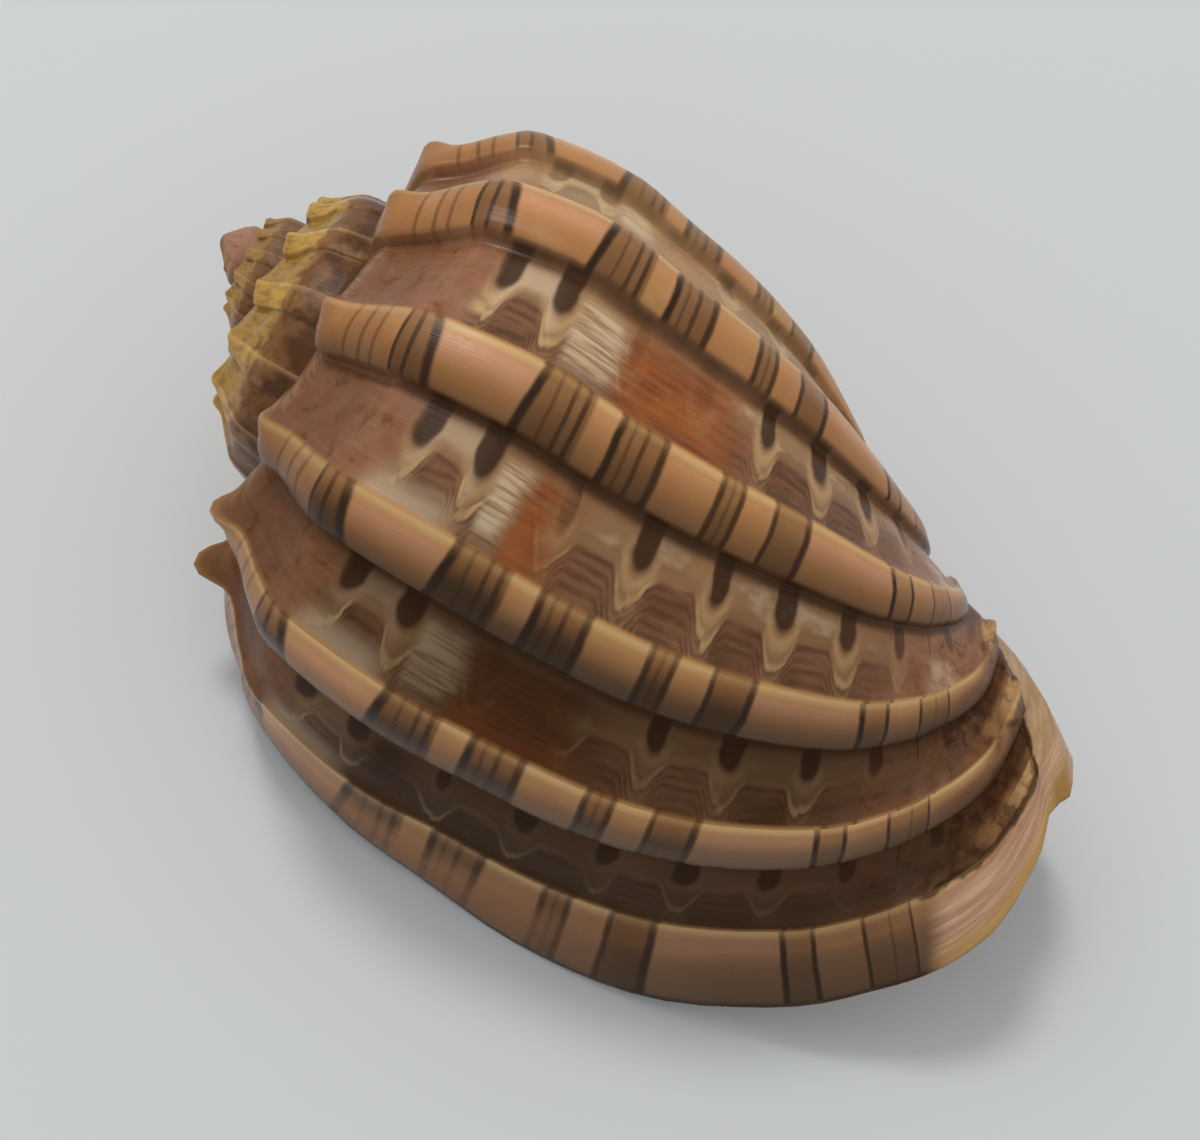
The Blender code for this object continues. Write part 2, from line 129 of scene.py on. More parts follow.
# radius, distance below the apex, lag angle, groove depth, wall thickness
CURVE = np.array((
    (19.4, 19.5, 7.0, 0.0, 1.0),
    (23.5, 18.6, 10.0, 1.2, 1.8),
    (27.6, 18.8, 12.5, 2.4, 1.8),
    (31.1, 22.4, 9.5, 2.8, 1.8),
    (35.1, 26.2, 7.0, 2.7, 1.7),
    (38.0, 30.5, 5.1, 2.5, 1.6),
    (40.2, 43.1, 2.3, 2.3, 1.6),
    (39.4, 53.6, 1.8, 2.2, 1.6),
    (38.2, 66.2, 0.0, 2.2, 1.6),
    (35.4, 78.3, -3.6, 2.1, 1.6),
    (29.9, 90.4, -9.4, 1.9, 1.6),
    (25.1, 98.3, -17.7, 1.7, 1.6),
    (22.2, 103.0, -25.9, 1.6, 1.6),
    (19.5, 107.7, -37.0, 1.4, 1.7),
    (17.4, 112.1, -52.0, 1.1, 1.9),
    (15.9, 116.6, -75.0, 0.7, 2.2),
    (14.9, 120.5, -90.0, 0.0, 2.4),
    (14.2, 125.0, -111.0, 0.0, 2.4),
    (11.0, 129.0, -125.0, 0.0, 2.4),
    (7.2, 131.3, -133.0, 0.0, 2.4),
    (4.6, 132.3, -138.0, 0.0, 2.4),
))

# Columns of one rib spacing, and rows down the curve outside and in
PHASES = (0.0, 0.015, 0.035, 0.065, 0.11, 0.17, 0.23, 0.29, 0.33, 0.36, 0.372, 0.386,
          FACE_SHARE + STEP_SHARE, 0.43, 0.48, 0.55, 0.63, 0.71, 0.79, 0.86, 0.92,
          0.96, 0.985)
SUTURE_PLACE = 5.75
UNDER_PLACE = 6.15
OUTER_ROWS = (0.0, 0.25, 0.5, 0.8, 1.1, 1.4, 1.6, 1.8, 1.95, 2.1, 2.25, 2.4, 2.6, 2.85, 3.1,
              3.4, 3.7, 4.0, 4.3, 4.6, 4.9, 5.2, 5.5, SUTURE_PLACE, UNDER_PLACE)
OUTER_STEP = 0.25
INNER_ROWS = (0.0, 0.6, 1.2, 1.7, 2.2, 2.8, 3.4, 4.0, 4.6, 5.3, 6.0)
INNER_STEP = 0.45
EVEN_ROWS = 6.4             # where rows begin to be evenly spaced
INNER_COUNT = round((20.0 - EVEN_ROWS) / INNER_STEP) + 1
SUTURE_ROW = OUTER_ROWS.index(SUTURE_PLACE)
SUTURE_BLEND = 2.2
PILLAR_BLEND = 4.0
PILLAR_STEPS = 6
TIP_STEPS = 8
CALLUS_EDGE = (-322.0, 22.0)   # growth angle where the callus starts to thin, and its fading

GROWTH = math.log(WHORL_RATIO) / (2.0 * math.pi)
PILLAR_SLOPE = CURVE[-1, 0] / CURVE[-1, 1]


def ease(x):
    """Smooth step from 0 at x=0 to 1 at x=1."""
    x = np.clip(x, 0.0, 1.0)
    return x * x * (3.0 - 2.0 * x)


def climb(x, start, span):
    """Smooth rise from 0 at start to 1 after span; a negative span rises towards lower x."""
    return ease((np.asarray(x) - start) / span)


def along_curve(t):
    """Rows of CURVE at places t, on a smooth curve through the table."""
    t = np.clip(np.asarray(t, float), 0.0, len(CURVE) - 1 - 1e-9)
    i = t.astype(int)
    f = (t - i)[:, None]
    ends = np.vstack((2 * CURVE[0] - CURVE[1], CURVE, 2 * CURVE[-1] - CURVE[-2]))
    a, b, c, d = ends[i], ends[i + 1], ends[i + 2], ends[i + 3]
    bend = (2 * a - 5 * b + 4 * c - d) * f ** 2 + (3 * b - a - 3 * c + d) * f ** 3
    return b + 0.5 * ((c - a) * f + bend)


def drift(g):
    """Uneven spacing of the last ribs, in degrees."""
    n = np.clip(-g / RIB_PITCH, 0.0, 6.0)
    i = np.minimum(n.astype(int), 5)
    table = np.array(RIB_DRIFT)
    return table[i] + (table[i + 1] - table[i]) * ease(n - i)


def mound(x, centre, span):
    """A smooth mound of height 1."""
    return np.exp(-((np.asarray(x) - centre) / span) ** 2)


def spiral(g, t):
    """Points of the bare spiral sheet, their scale and the curve rows."""
    rows = along_curve(t)
    wide, wider = LIP_STRETCH
    stretch = wide + (wider - wide) * climb(t, *STRETCH_TURN)
    stretch = stretch + LIP_TOOTH[0] * mound(t, *LIP_TOOTH[1:])
    stretch = stretch - LIP_NOTCH[0] * mound(t, *LIP_NOTCH[1:])
    late = np.clip(g, 0.0, None)[:, None] * stretch[None, :]
    turn = np.minimum(g, 0.0)[:, None] + late + drift(g)[:, None] + rows[None, :, 2]
    angle = np.radians(turn)
    scale = np.exp(GROWTH * angle)
    slimmer = NARROW[0] * climb(g, NARROW[1], -NARROW[2])[:, None]
    r = rows[None, :, 0] * scale * (1.0 - slimmer)
    points = np.stack((r * np.cos(angle), -r * np.sin(angle), -rows[None, :, 1] * scale), -1)
    high_up = 1.0 - climb(t, *LEAN_FADE)
    points[..., 0] += LEAN[0] * mound(g, *LEAN[1:])[:, None] * high_up
    return points, scale, rows


def outward(g, t):
    """Unit normals of the bare spiral sheet, pointing out of the shell."""
    inside = np.clip(t, 0.01, len(CURVE) - 1.01)
    with_growth = spiral(g + 0.05, inside)[0] - spiral(g - 0.05, inside)[0]
    down_curve = spiral(g, inside + 0.01)[0] - spiral(g, inside - 0.01)[0]
    n = np.cross(with_growth, down_curve)
    return n / np.linalg.norm(n, axis=-1, keepdims=True)


def flare(t, rows):
    """How far the lip spreads beyond the spiral, in lip flares."""
    rise = climb(t, *FLARE_RISE) + LIP_SHOULDER[0] * mound(t, *LIP_SHOULDER[1:])
    return rise * np.clip(rows[:, 3] / FULL_GROOVE, 0.0, MOST_FLARE)


def sunk(g, t):
    """How far the whole wall lies below the rule at each place, in units."""
    deep, growth, span, place, reach = DENT
    return deep * mound(g, growth, span)[:, None] * mound(t, place, reach)[None, :]


def outer_sheet(g, t):
    """Bare outside of the wall, with what each later step may add to it.

    Returns points and four fields of vectors: `pull`, one groove depth
    inwards; `crest`, one unit up a spine; `spread`, one unit of lip flare;
    and `out`, one unit outwards.
    """
    points, scale, rows = spiral(g, t)
    out = outward(g, t) * scale[..., None]
    start, span = COVERED
    hidden = climb(g, LIP_ANGLE - start, -span)[:, None] * climb(t, SUTURE_PLACE, 1.0)
    height = 1.0 - (1.0 - COVERED_RIB) * hidden
    height = height * climb(g, FIRST_RIB, RIBS_RISE)[:, None]
    worn = climb(g, WORN_START, -WORN_TURN)[:, None] * climb(t, *WORN_PLACE)
    grooved = height * (1.0 - WORN * worn) * rows[None, :, 3] * (g <= 0.0)[:, None]
    longer = 1.0 + LAST_SPINES * climb(g, -SPINE_RISE, SPINE_RISE)[:, None]
    peak = height * mound(t, SPINE_PLACE, SPINE_SPAN) * longer
    start, span = LUMPS_SHOWN
    lumps = mound(t, NODULE_PLACE, NODULE_SPAN) * climb(g, LIP_ANGLE - start, span)[:, None]
    peak = peak + NODULE_SIZE * lumps
    ridge = RIDGE * lumps
    points = points + out * (ridge - sunk(g, t))[..., None]
    along_lip = np.clip(g / LIP_ANGLE, 0.0, 1.0)[:, None]
    wide = flare(t, rows)[None, :] * 0.5 * (along_lip + ease(along_lip))
    return points, [out * grooved[..., None], out * peak[..., None], out * wide[..., None], out]


def inner_sheet(g, t):
    """Bare inside of the wall, and its share of the lip flare."""
    points, scale, rows = spiral(g, t)
    out = outward(g, t) * scale[..., None]
    near_lip = climb(g, -LINING_LEAD, LIP_ANGLE + LINING_LEAD)[:, None]
    deep = (rows[:, 3] * FLOOR_DEPTH + rows[:, 4])[None, :] + sunk(g, t)
    points = points - out * deep[..., None]
    return points, out * (LINING_FLARE * near_lip * flare(t, rows)[None, :])[..., None]


def on_pillar(angle, z, radius):
    """A point at an angle round the coiling axis and z below the apex."""
    return np.array((radius * math.cos(angle), -radius * math.sin(angle), -z))


def on_tip(angle, share, z_end, r_end):
    """A point on the bent end of the pillar, share of the way to its tip."""
    reach, aim = TIP_BEND
    aside = on_pillar(math.radians(aim), 0.0, reach * share ** 2)
    z = z_end + (TIP_HEIGHT - z_end) * share
    return on_pillar(angle, z, r_end * (1.0 - share) ** TIP_TAPER) + aside


def swell(points):
    """Thicken the pillar where the siphonal end of the shell winds onto it."""
    r = np.hypot(points[:, 0], points[:, 1])
    z = -points[:, 2]
    bulge = PILLAR_SWELL * mound(z, SWELL_HEIGHT, SWELL_SPAN)
    grown = r + bulge * np.exp(-np.maximum(r - PILLAR_SLOPE * z, 0.0) / SWELL_REACH)
    slim = TIP_SLIM * climb(z, SLIM_HEIGHT, TIP_HEIGHT - SLIM_HEIGHT)
    grown = grown * (1.0 - slim * mound(r, 0.0, SLIM_REACH))
    factor = np.where(r > 1e-9, grown / np.maximum(r, 1e-9), 1.0)
    return points * np.stack((factor, factor, np.ones_like(factor)), 1)


class Skin:
    """Points and faces of one closed surface.

    A point carries four vectors (pull, crest, spread, out) and a mark: its
    growth angle, its place and how far it lies on the lining, from 0 to 1.
    A face may give its corners marks of their own.
    """

    def __init__(self):
        self.points = []
        self.fields = []
        self.marks = []
        self.faces = []
        self.corners = []

    def add(self, point, mark, fields=None):
        self.points.append(np.asarray(point, float))
        self.fields.append(np.zeros((4, 3)) if fields is None else np.asarray(fields))
        self.marks.append(mark)
        return len(self.points) - 1

    def face(self, *corners, marks=None):
        """A face seen from outside, its corners given the other way round."""
        marks = marks or [self.marks[i] for i in corners]
        kept = [k for k in range(len(corners)) if corners[k] != corners[k - 1]]
        if len(kept) > 2:
            self.faces.append([corners[k] for k in reversed(kept)])
            self.corners.extend(marks[k] for k in reversed(kept))

    def strip(self, left, right):
        """Faces between two chains of points that may differ in number."""
        spans = []
        for chain in (left, right):
            ends = np.array([self.points[i] for i in chain])
            steps = np.linalg.norm(np.diff(ends, axis=0), axis=1)
            spans.append(np.append(0.0, np.cumsum(steps)) / steps.sum())
        i = j = 0
        while i < len(left) - 1 or j < len(right) - 1:
            if j == len(right) - 1 or (i < len(left) - 1 and spans[0][i + 1] <= spans[1][j + 1]):
                self.face(left[i], left[i + 1], right[j])
                i += 1
            else:
                self.face(left[i], right[j + 1], right[j])
                j += 1

    def polar(self, index):
        """Angle, distance below the apex and radius of a point."""
        x, y, z = self.points[index]
        return math.atan2(-y, x), -z, math.hypot(x, y)

    def between(self, a, b, share, back=0.0):
        """A new point between two others, round the axis and not through it."""
        angle_a, z_a, r_a = self.polar(a)
        angle_b, z_b, r_b = self.polar(b)
        turn = (angle_b - angle_a + math.pi) % (2.0 * math.pi) - math.pi
        angle = angle_a + turn * share - math.radians(back) * math.sin(math.pi * share)
        point = on_pillar(angle, z_a + (z_b - z_a) * share, r_a + (r_b - r_a) * share)
        mark = (self.marks[a][0], self.marks[a][1], 1.0)
        return self.add(point, mark)


def callus(g, t):
    """How far a place on the outside lies under the callus, from 0 to 1."""
    start, fading = CALLUS_EDGE
    return float(climb(g, start, -fading) * climb(t, SUTURE_PLACE, UNDER_PLACE - SUTURE_PLACE))


def sewn_skin():
    """Sew the sheets, the pillar, the lip edge and the blind end into one skin."""
    skin = Skin()
    turn = len(PHASES) * RIBS_PER_TURN
    lip = TURNS * turn + PHASES.index(FACE_SHARE + STEP_SHARE)
    blind = lip - round(CAVITY_TURN / 360.0 * turn)
    column = np.arange(lip + 1)
    phase = np.array(PHASES)[column % len(PHASES)]
    g = RIB_PITCH * (column // len(PHASES) + phase) - 360.0 * TURNS
    outer_t = np.append(OUTER_ROWS, np.arange(EVEN_ROWS, 20.01, OUTER_STEP))
    outer_t[-1] = 20.0
    inner_t = np.append(INNER_ROWS, np.linspace(EVEN_ROWS, 20.0, INNER_COUNT))
    last = len(outer_t) - 1
    inner_last = len(inner_t) - 1

    # outside of every whorl; its first row is the suture on the whorl before
    pole = skin.add((0.0, 0.0, -APEX_DROP), (g[0], 0.0, 0.0))
    sheet, fields = outer_sheet(g, outer_t)
    begun = np.clip((g - g[0]) / APEX_TURN, 0.0, 1.0)
    begun = np.sqrt(begun * (2.0 - begun))[:, None]
    begun = np.stack((begun, begun, begun ** 3), -1)
    sheet = skin.points[pole] + begun * (sheet - skin.points[pole])
    fields = np.stack([begun * field for field in fields], 2)
    draw = 1.0 - ease(outer_t / SUTURE_BLEND)
    outer = np.full((lip + 1, last + 1), -1)
    for c in column:
        outer[c, 0] = pole if c < turn else outer[c - turn, SUTURE_ROW]
        anchor = outer[c, 0]
        shift = skin.points[anchor] - sheet[c, 0]
        carried = skin.fields[anchor].copy()
        carried[3] = 0.0
        for j in range(1, (SUTURE_ROW if c < blind - turn else last) + 1):
            if c == 0:
                outer[c, j] = pole
                continue
            mark = (g[c], outer_t[j], callus(g[c], outer_t[j]))
            point = sheet[c, j] + shift * draw[j]
            outer[c, j] = skin.add(point, mark, fields[c, j] + carried * draw[j])
    for c in range(lip):
        for j in range(last):
            covered = j == SUTURE_ROW and c < lip - turn
            unseen = j >= SUTURE_ROW and c < blind - turn
            if covered or unseen:
                continue
            places = ((c, j), (c, j + 1), (c + 1, j + 1), (c + 1, j))
            marks = [(g[m], outer_t[n], callus(g[m], outer_t[n])) for m, n in places]
            skin.face(*(outer[m, n] for m, n in places), marks=marks)

    # inside of the last whorl, from the suture to the pillar
    sheet, lip_share = inner_sheet(g, inner_t)
    draw = 1.0 - ease(inner_t / SUTURE_BLEND)
    settle = ease((inner_t - inner_t[-1] + PILLAR_BLEND) / PILLAR_BLEND)
    inner = np.full((lip + 1, inner_last + 1), -1)
    for c in range(blind, lip + 1):
        inner[c, 0] = outer[c - turn, SUTURE_ROW + 1]
        lift = skin.points[inner[c, 0]] - sheet[c, 0]
        angle, z, _ = skin.polar(outer[c, last])
        z *= 1.0 - PILLAR_WALL / CURVE[-1, 1]
        land = on_pillar(angle, z, PILLAR_SLOPE * z) - sheet[c, inner_last]
        for j in range(1, inner_last + 1):
            point = sheet[c, j] + lift * draw[j] + land * settle[j]
            carried = np.zeros((4, 3))
            carried[2] = lip_share[c, j]
            inner[c, j] = skin.add(point, (g[c], inner_t[j], 1.0), carried)
    for c in range(blind, lip):
        for j in range(inner_last):
            places = ((c, j), (c + 1, j), (c + 1, j + 1), (c, j + 1))
            marks = [(g[m], inner_t[n], 1.0) for m, n in places]
            skin.face(*(inner[m, n] for m, n in places), marks=marks)

    # pillar inside the cavity
    pillar = {}
    for c in range(blind, lip + 1):
        low, high = inner[c, inner_last], outer[c - turn, last]
        steps = [skin.between(low, high, m / PILLAR_STEPS) for m in range(1, PILLAR_STEPS)]
        pillar[c] = [low] + steps + [high]
    for c in range(blind, lip):
        for m in range(PILLAR_STEPS):
            skin.face(pillar[c][m], pillar[c + 1][m], pillar[c + 1][m + 1], pillar[c][m + 1])

    # blind end of the cavity, in levels from its roof to the whorl before
    wall_t = outer_t[SUTURE_ROW + 1:]
    wall = outer[blind - turn, SUTURE_ROW + 1:]
    match = wall_t[0] + (wall_t[-1] - wall_t[0]) * (inner_t / inner_t[-1]) ** BLIND_SPACING
    partner = [wall[np.argmin(abs(wall_t - t))] for t in match]
    level = list(inner[blind])
    for m in range(1, PILLAR_STEPS):
        pairs = list(zip(inner[blind], partner))[1:-1]
        middle = [skin.between(a, b, m / PILLAR_STEPS, BLIND_DEPTH) for a, b in pairs]
        lower = [wall[0]] + middle + [pillar[blind][m]]
        skin.strip(level, lower)
        level = lower
    skin.strip(level, list(wall))

    # rounded edge of the lip
    edge = np.array([skin.points[i] for i in outer[lip]])
    edge_fields = np.array([skin.fields[i] for i in outer[lip]]).reshape(-1, 12)
    ahead = spiral(g[-1:] + 0.5, inner_t)[0][0] - spiral(g[-1:] - 0.5, inner_t)[0][0]
    ahead /= np.linalg.norm(ahead, axis=1, keepdims=True)
    fade = 1.0 - climb(inner_t, *LIP_ROUND_END)
    lanes = []
    for share in LIP_LANES:
        bow = math.sin(math.pi * share)
        lane = [inner[lip, 0]]
        for j in range(1, inner_last):
            t = inner_t[j]
            outside = np.array([np.interp(t, outer_t, edge[:, k]) for k in range(3)])
            inside = skin.points[inner[lip, j]]
            width = LIP_ROUND * np.linalg.norm(outside - inside) * fade[j] * bow
            point = outside + (inside - outside) * share + ahead[j] * width
            given = [np.interp(t, outer_t, edge_fields[:, k]) for k in range(12)]
            carried = np.reshape(given, (4, 3)) * (1.0 - share)
            carried = carried + skin.fields[inner[lip, j]] * share
            lane.append(skin.add(point, (LIP_ANGLE, t, share), carried))
        lane.append(inner[lip, inner_last])
        lanes.append(lane)
    lanes.append(list(inner[lip]))
    before = list(outer[lip])
    for lane in lanes:
        skin.strip(before, lane)
        before = lane

    # end of the pillar, below the line where the shell wall leaves it
    end, z_end, r_end = skin.polar(outer[lip, last])
    tip = skin.add(on_tip(0.0, 1.0, z_end, r_end), (LIP_ANGLE, 20.0, 1.0))
    shares = [m / TIP_STEPS for m in range(1, TIP_STEPS)]

    def down_tip(angle, mark):
        return [skin.add(on_tip(angle, share, z_end, r_end), mark) for share in shares]

    shared = down_tip(end, (LIP_ANGLE, 20.0, 1.0))
    before = [outer[lip - turn, last]] + pillar[lip][::-1][1:] + [outer[lip, last]]
    most = len(before) - 1
    before += shared
    for c in range(lip - turn + 1, lip + 1):
        here = [outer[c, last]]
        mark = (g[c], 20.0, 1.0)
        if c < lip:
            foot = end - 2.0 * math.pi * (lip - c) / turn
            base = skin.add(on_pillar(foot, z_end, r_end), mark)
            steps = max(1, round(most * (lip - c) / turn))
            here += [skin.between(here[0], base, m / steps) for m in range(1, steps)]
            here += [base]
            here += down_tip(foot, mark)
        else:
            here += shared
        skin.strip(before + [tip], here + [tip])
        before = here
    return skin


def unwound(vectors, g):
    """Vectors turned and sized back from growth angle g to the last rib."""
    angle = np.radians(g)
    c, s = np.cos(angle), np.sin(angle)
    x, y, z = np.moveaxis(vectors, -1, 0)
    turned = np.stack((c * x - s * y, s * x + c * y, z), -1)
    return turned * np.exp(-GROWTH * angle)[:, None]


def unwound_mesh(name):
    """The sewn skin, unwound, with all that the Geometry Nodes tree reads."""
    skin = sewn_skin()
    g = np.array([mark[0] for mark in skin.marks])
    place = np.array([mark[1] for mark in skin.marks])
    points = unwound(swell(np.array(skin.points)), g)
    mesh = bpy.data.meshes.new(name)
    mesh.from_pydata(points.tolist(), [], skin.faces)
    mesh.polygons.foreach_set("use_smooth", [True] * len(mesh.polygons))
    fields = np.array(skin.fields)
    for k, field in enumerate(("pull", "crest", "spread", "out")):
        layer = mesh.attributes.new(field, "FLOAT_VECTOR", "POINT")
        layer.data.foreach_set("vector", unwound(fields[:, k], g).ravel())
    for field, values in (("growth", g), ("place", place)):
        layer = mesh.attributes.new(field, "FLOAT", "POINT")
        layer.data.foreach_set("value", values)
    corners = np.array(skin.corners)
    wall = mesh.uv_layers.new(name="wall")
    wall.uv.foreach_set("vector", (corners[:, :2] / (360.0, 20.0)).ravel())
    lining = mesh.attributes.new("lining", "FLOAT", "CORNER")
    lining.data.foreach_set("value", corners[:, 2])
    mesh.update()
    return mesh


def rest_matrix():
    """From shell units to metres, lying on the aperture over the origin."""
    spin = Matrix.Rotation(math.radians(REST_SPIN), 4, "Z")
    lie = Matrix.Rotation(math.radians(90.0 - REST_TILT), 4, "Y")
    head = Matrix.Rotation(math.radians(REST_HEADING), 4, "Z")
    centre = Matrix.Translation([-v for v in REST_CENTRE])
    return centre @ Matrix.Scale(UNIT, 4) @ head @ lie @ spin


# ---------------------------------------------------------------- node trees
def node_sum(operation, swapped=False):
    """A Python operator that adds one Math node."""
    def apply(self, other):
        pair = (other, self) if swapped else (self, other)
        return self.recipe.maths(operation, *pair)
    return apply


class Value:
    """A number that nodes work out, written like any other number."""
    __add__, __radd__ = node_sum("ADD"), node_sum("ADD", True)
    __sub__, __rsub__ = node_sum("SUBTRACT"), node_sum("SUBTRACT", True)
    __mul__, __rmul__ = node_sum("MULTIPLY"), node_sum("MULTIPLY", True)
    __truediv__, __rtruediv__ = node_sum("DIVIDE"), node_sum("DIVIDE", True)
    __pow__, __gt__, __lt__ = map(node_sum, ("POWER", "GREATER_THAN", "LESS_THAN"))

    def __init__(self, recipe, socket):
        self.recipe = recipe
        self.socket = socket

    def maths(self, operation, *values, clamp=False):
        """The result of a Math node that starts from this value."""
        return self.recipe.maths(operation, self, *values, clamp=clamp)

    def rise(self, low, high, start=0.0, end=1.0):
        """A smooth step from start at low to end at high."""
        sources = (self, low, high, start, end)
        return self.recipe.value("ShaderNodeMapRange", sources, interpolation_type="SMOOTHSTEP")

    def fall(self, low, high):
        """A smooth step down from 1 at low to 0 at high."""
        return self.rise(low, high, 1.0, 0.0)

    def peak(self, centre, half, soft=1.6):
        """1 within half of centre, falling smoothly to 0 by soft times half."""
        return (self - centre).maths("ABSOLUTE").fall(0.55 * half, soft * half)


def most(first, *others):
    """The greatest of several values."""
    for other in others:
        first = first.maths("MAXIMUM", other)
    return first


class Recipe:
    """Adds nodes to a tree one at a time and joins each to its sources."""

    def __init__(self, tree):
        self.tree = tree

    def node(self, kind, sources=(), **settings):
        """A node with its settings, its inputs joined or set in turn or by name."""
        node = self.tree.nodes.new(kind)
        for key, value in settings.items():
            setattr(node, key, value)
        pairs = sources.items() if isinstance(sources, dict) else enumerate(sources)
        for key, source in pairs:
            if isinstance(source, Value):
                self.tree.links.new(source.socket, node.inputs[key])
            else:
                node.inputs[key].default_value = source
        return node

    def value(self, kind, sources=(), output=0, **settings):
        """One output of a new node."""
        return Value(self, self.node(kind, sources, **settings).outputs[output])

    def maths(self, operation, *values, clamp=False):
        """The result of one Math node."""
        return self.value("ShaderNodeMath", values, operation=operation, use_clamp=clamp)


def rib_tree(name, material, labels):
    """Geometry Nodes: raise the ribs, spines and lip, wind the coil, lay it down."""
    tree = bpy.data.node_groups.new(name, "GeometryNodeTree")
    for way in ("INPUT", "OUTPUT"):
        tree.interface.new_socket("Geometry", in_out=way, socket_type="NodeSocketGeometry")
    for label in labels:
        tree.interface.new_socket(label, in_out="INPUT", socket_type="NodeSocketFloat")
    build = Recipe(tree)
    given = {s.name: Value(build, s) for s in tree.nodes.new("NodeGroupInput").outputs}
    share, fall = given["Face Share"], given["Face Fall"]
    drop, regained = given["Floor Drop"], given["Floor Rise"]

    def field(label, kind="FLOAT_VECTOR"):
        return build.value("GeometryNodeInputNamedAttribute", (label,), "Attribute", data_type=kind)

    def scaled(vector, by):
        return build.value("ShaderNodeVectorMath", {0: vector, "Scale": by}, operation="SCALE")

    def either(choice, low, high):
        return build.value("ShaderNodeMix", {0: choice, 2: low, 3: high})

    # phase of the rib spacing, and the depth of the groove over it
    growth = field("growth", "FLOAT")
    phase = (growth / (360.0 / given["Ribs per Turn"])).maths("FRACT")
    u = phase / share
    bulge = (u.maths("MINIMUM", 1.0) * math.pi).maths("SINE") * given["Face Bulge"]
    start = share + given["Step Share"]
    w = (phase - start).maths("DIVIDE", 1.0 - start, clamp=True)
    on_floor = drop - w * regained - w.rise(0.86, 1.0, 0.0, drop - regained)
    depth = either(phase > share, u ** 3.0 * fall - bulge, phase.rise(share, start, fall, drop))
    depth = either(phase > start, depth, on_floor) * given["Rib Depth"]

    # height of the spines across a rib, and slow unevenness of growth
    height = (phase.fall(0.0, share * 0.55) + phase.rise(0.93, 1.0)) * given["Spine Height"]
    where = build.value("ShaderNodeCombineXYZ", (growth * 0.11, field("place", "FLOAT") * 0.9))
    sources = {"Vector": where, "W": given["Seed"], "Scale": 1.0, "Detail": 3.0}
    noise = build.value("ShaderNodeTexNoise", sources, "Fac", noise_dimensions="4D")
    relief = (noise - 0.5) * given["Growth Relief"]

    place = build.value("GeometryNodeInputPosition")
    raised = (("pull", depth * -1.0), ("crest", height), ("spread", given["Lip Flare"]),
              ("out", relief))
    for label, by in raised:
        pair = (place, scaled(field(label), by))
        place = build.value("ShaderNodeVectorMath", pair, operation="ADD")

    # wind it round the coiling axis
    angle = growth.maths("RADIANS")
    rate = given["Whorl Ratio"].maths("LOGARITHM", math.e) / math.tau
    turned = build.value("ShaderNodeVectorRotate", {"Vector": place, "Angle": angle * -1.0},
                         rotation_type="Z_AXIS")
    wound = scaled(turned, (rate * angle).maths("EXPONENT"))
    coil = build.value("GeometryNodeSetPosition",
                       {"Geometry": given["Geometry"], "Position": wound})

    # lay it on its aperture
    where, turn, scale = rest_matrix().decompose()
    laid = build.value("GeometryNodeTransform", {
        "Geometry": coil, "Translation": where, "Rotation": turn.to_euler(), "Scale": scale})
    real = build.value("GeometryNodeRealizeInstances", (laid,))
    painted = build.value("GeometryNodeSetMaterial", {"Geometry": real, "Material": material})
    build.node("NodeGroupOutput", (painted,))
    return tree


def plain_mesh(thing, name):
    """The evaluated object as a plain mesh, its modifiers taken off."""
    ready = thing.evaluated_get(bpy.context.evaluated_depsgraph_get())
    mesh = bpy.data.meshes.new_from_object(ready)
    mesh.name = name
    thing.modifiers.clear()
    thing.data = mesh


# ---------------------------------------------------------------- the enamel
# brown lines across the rib faces: place, half width, lean at the foot, strength
RIB_LINES = (
    (2.90, 0.040, 0.00, 0.45), (3.38, 0.045, 0.00, 0.50), (3.75, 0.040, 0.00, 0.45),
    (4.38, 0.050, 0.06, 0.85), (4.72, 0.040, 0.10, 0.80), (4.97, 0.050, 0.17, 0.95),
    (6.03, 0.038, -0.07, 1.0), (6.20, 0.018, 0.00, 0.45), (6.39, 0.022, 0.00, 0.70),
    (6.54, 0.026, 0.00, 0.80), (6.97, 0.034, 0.00, 1.0), (7.10, 0.016, 0.00, 0.45),
    (7.23, 0.020, 0.00, 0.70), (7.42, 0.028, 0.00, 0.85), (8.00, 0.026, 0.00, 0.85),
    (8.11, 0.014, 0.00, 0.40), (8.22, 0.024, 0.00, 0.80), (8.59, 0.022, 0.00, 0.85),
    (8.96, 0.028, 0.00, 0.90), (10.01, 0.028, 0.11, 1.0), (10.35, 0.024, 0.10, 0.95),
    (10.98, 0.026, 0.13, 0.90), (11.42, 0.020, 0.12, 0.40), (11.86, 0.026, 0.15, 0.80),
)
# dark stretches of the rib faces: ends, lean of each end at the foot, strength
RIB_GROUPS = (
    (4.36, 5.01, 0.05, 0.16, 0.85), (5.99, 6.63, -0.07, 0.00, 1.0),
    (6.95, 7.46, 0.00, 0.00, 1.0), (7.99, 8.24, 0.00, 0.00, 0.9),
    (8.58, 8.98, 0.00, 0.00, 0.9), (10.01, 10.35, 0.10, 0.10, 0.45),
    (10.98, 11.88, 0.12, 0.14, 0.38),
)
# brown spots hanging below the rib faces: place and half width
SPOTS = ((5.33, 0.115), (5.88, 0.130), (6.85, 0.075), (7.62, 0.105), (8.37, 0.095),
         (9.07, 0.115), (9.77, 0.095), (10.60, 0.110), (11.45, 0.030), (12.35, 0.160))
# chestnut patches of the last groove floors: rib, beginning, end
CHESTNUT = ((-4.0, 6.72, 8.15), (-3.0, 6.42, 6.98), (-2.0, 6.62, 7.95), (-1.0, 6.05, 6.62))
PAINTED_SHADE_TINT = (0.024, 0.015, 0.008, 1.0)      # painted shade laid over the youngest, lowest ribs and grooves
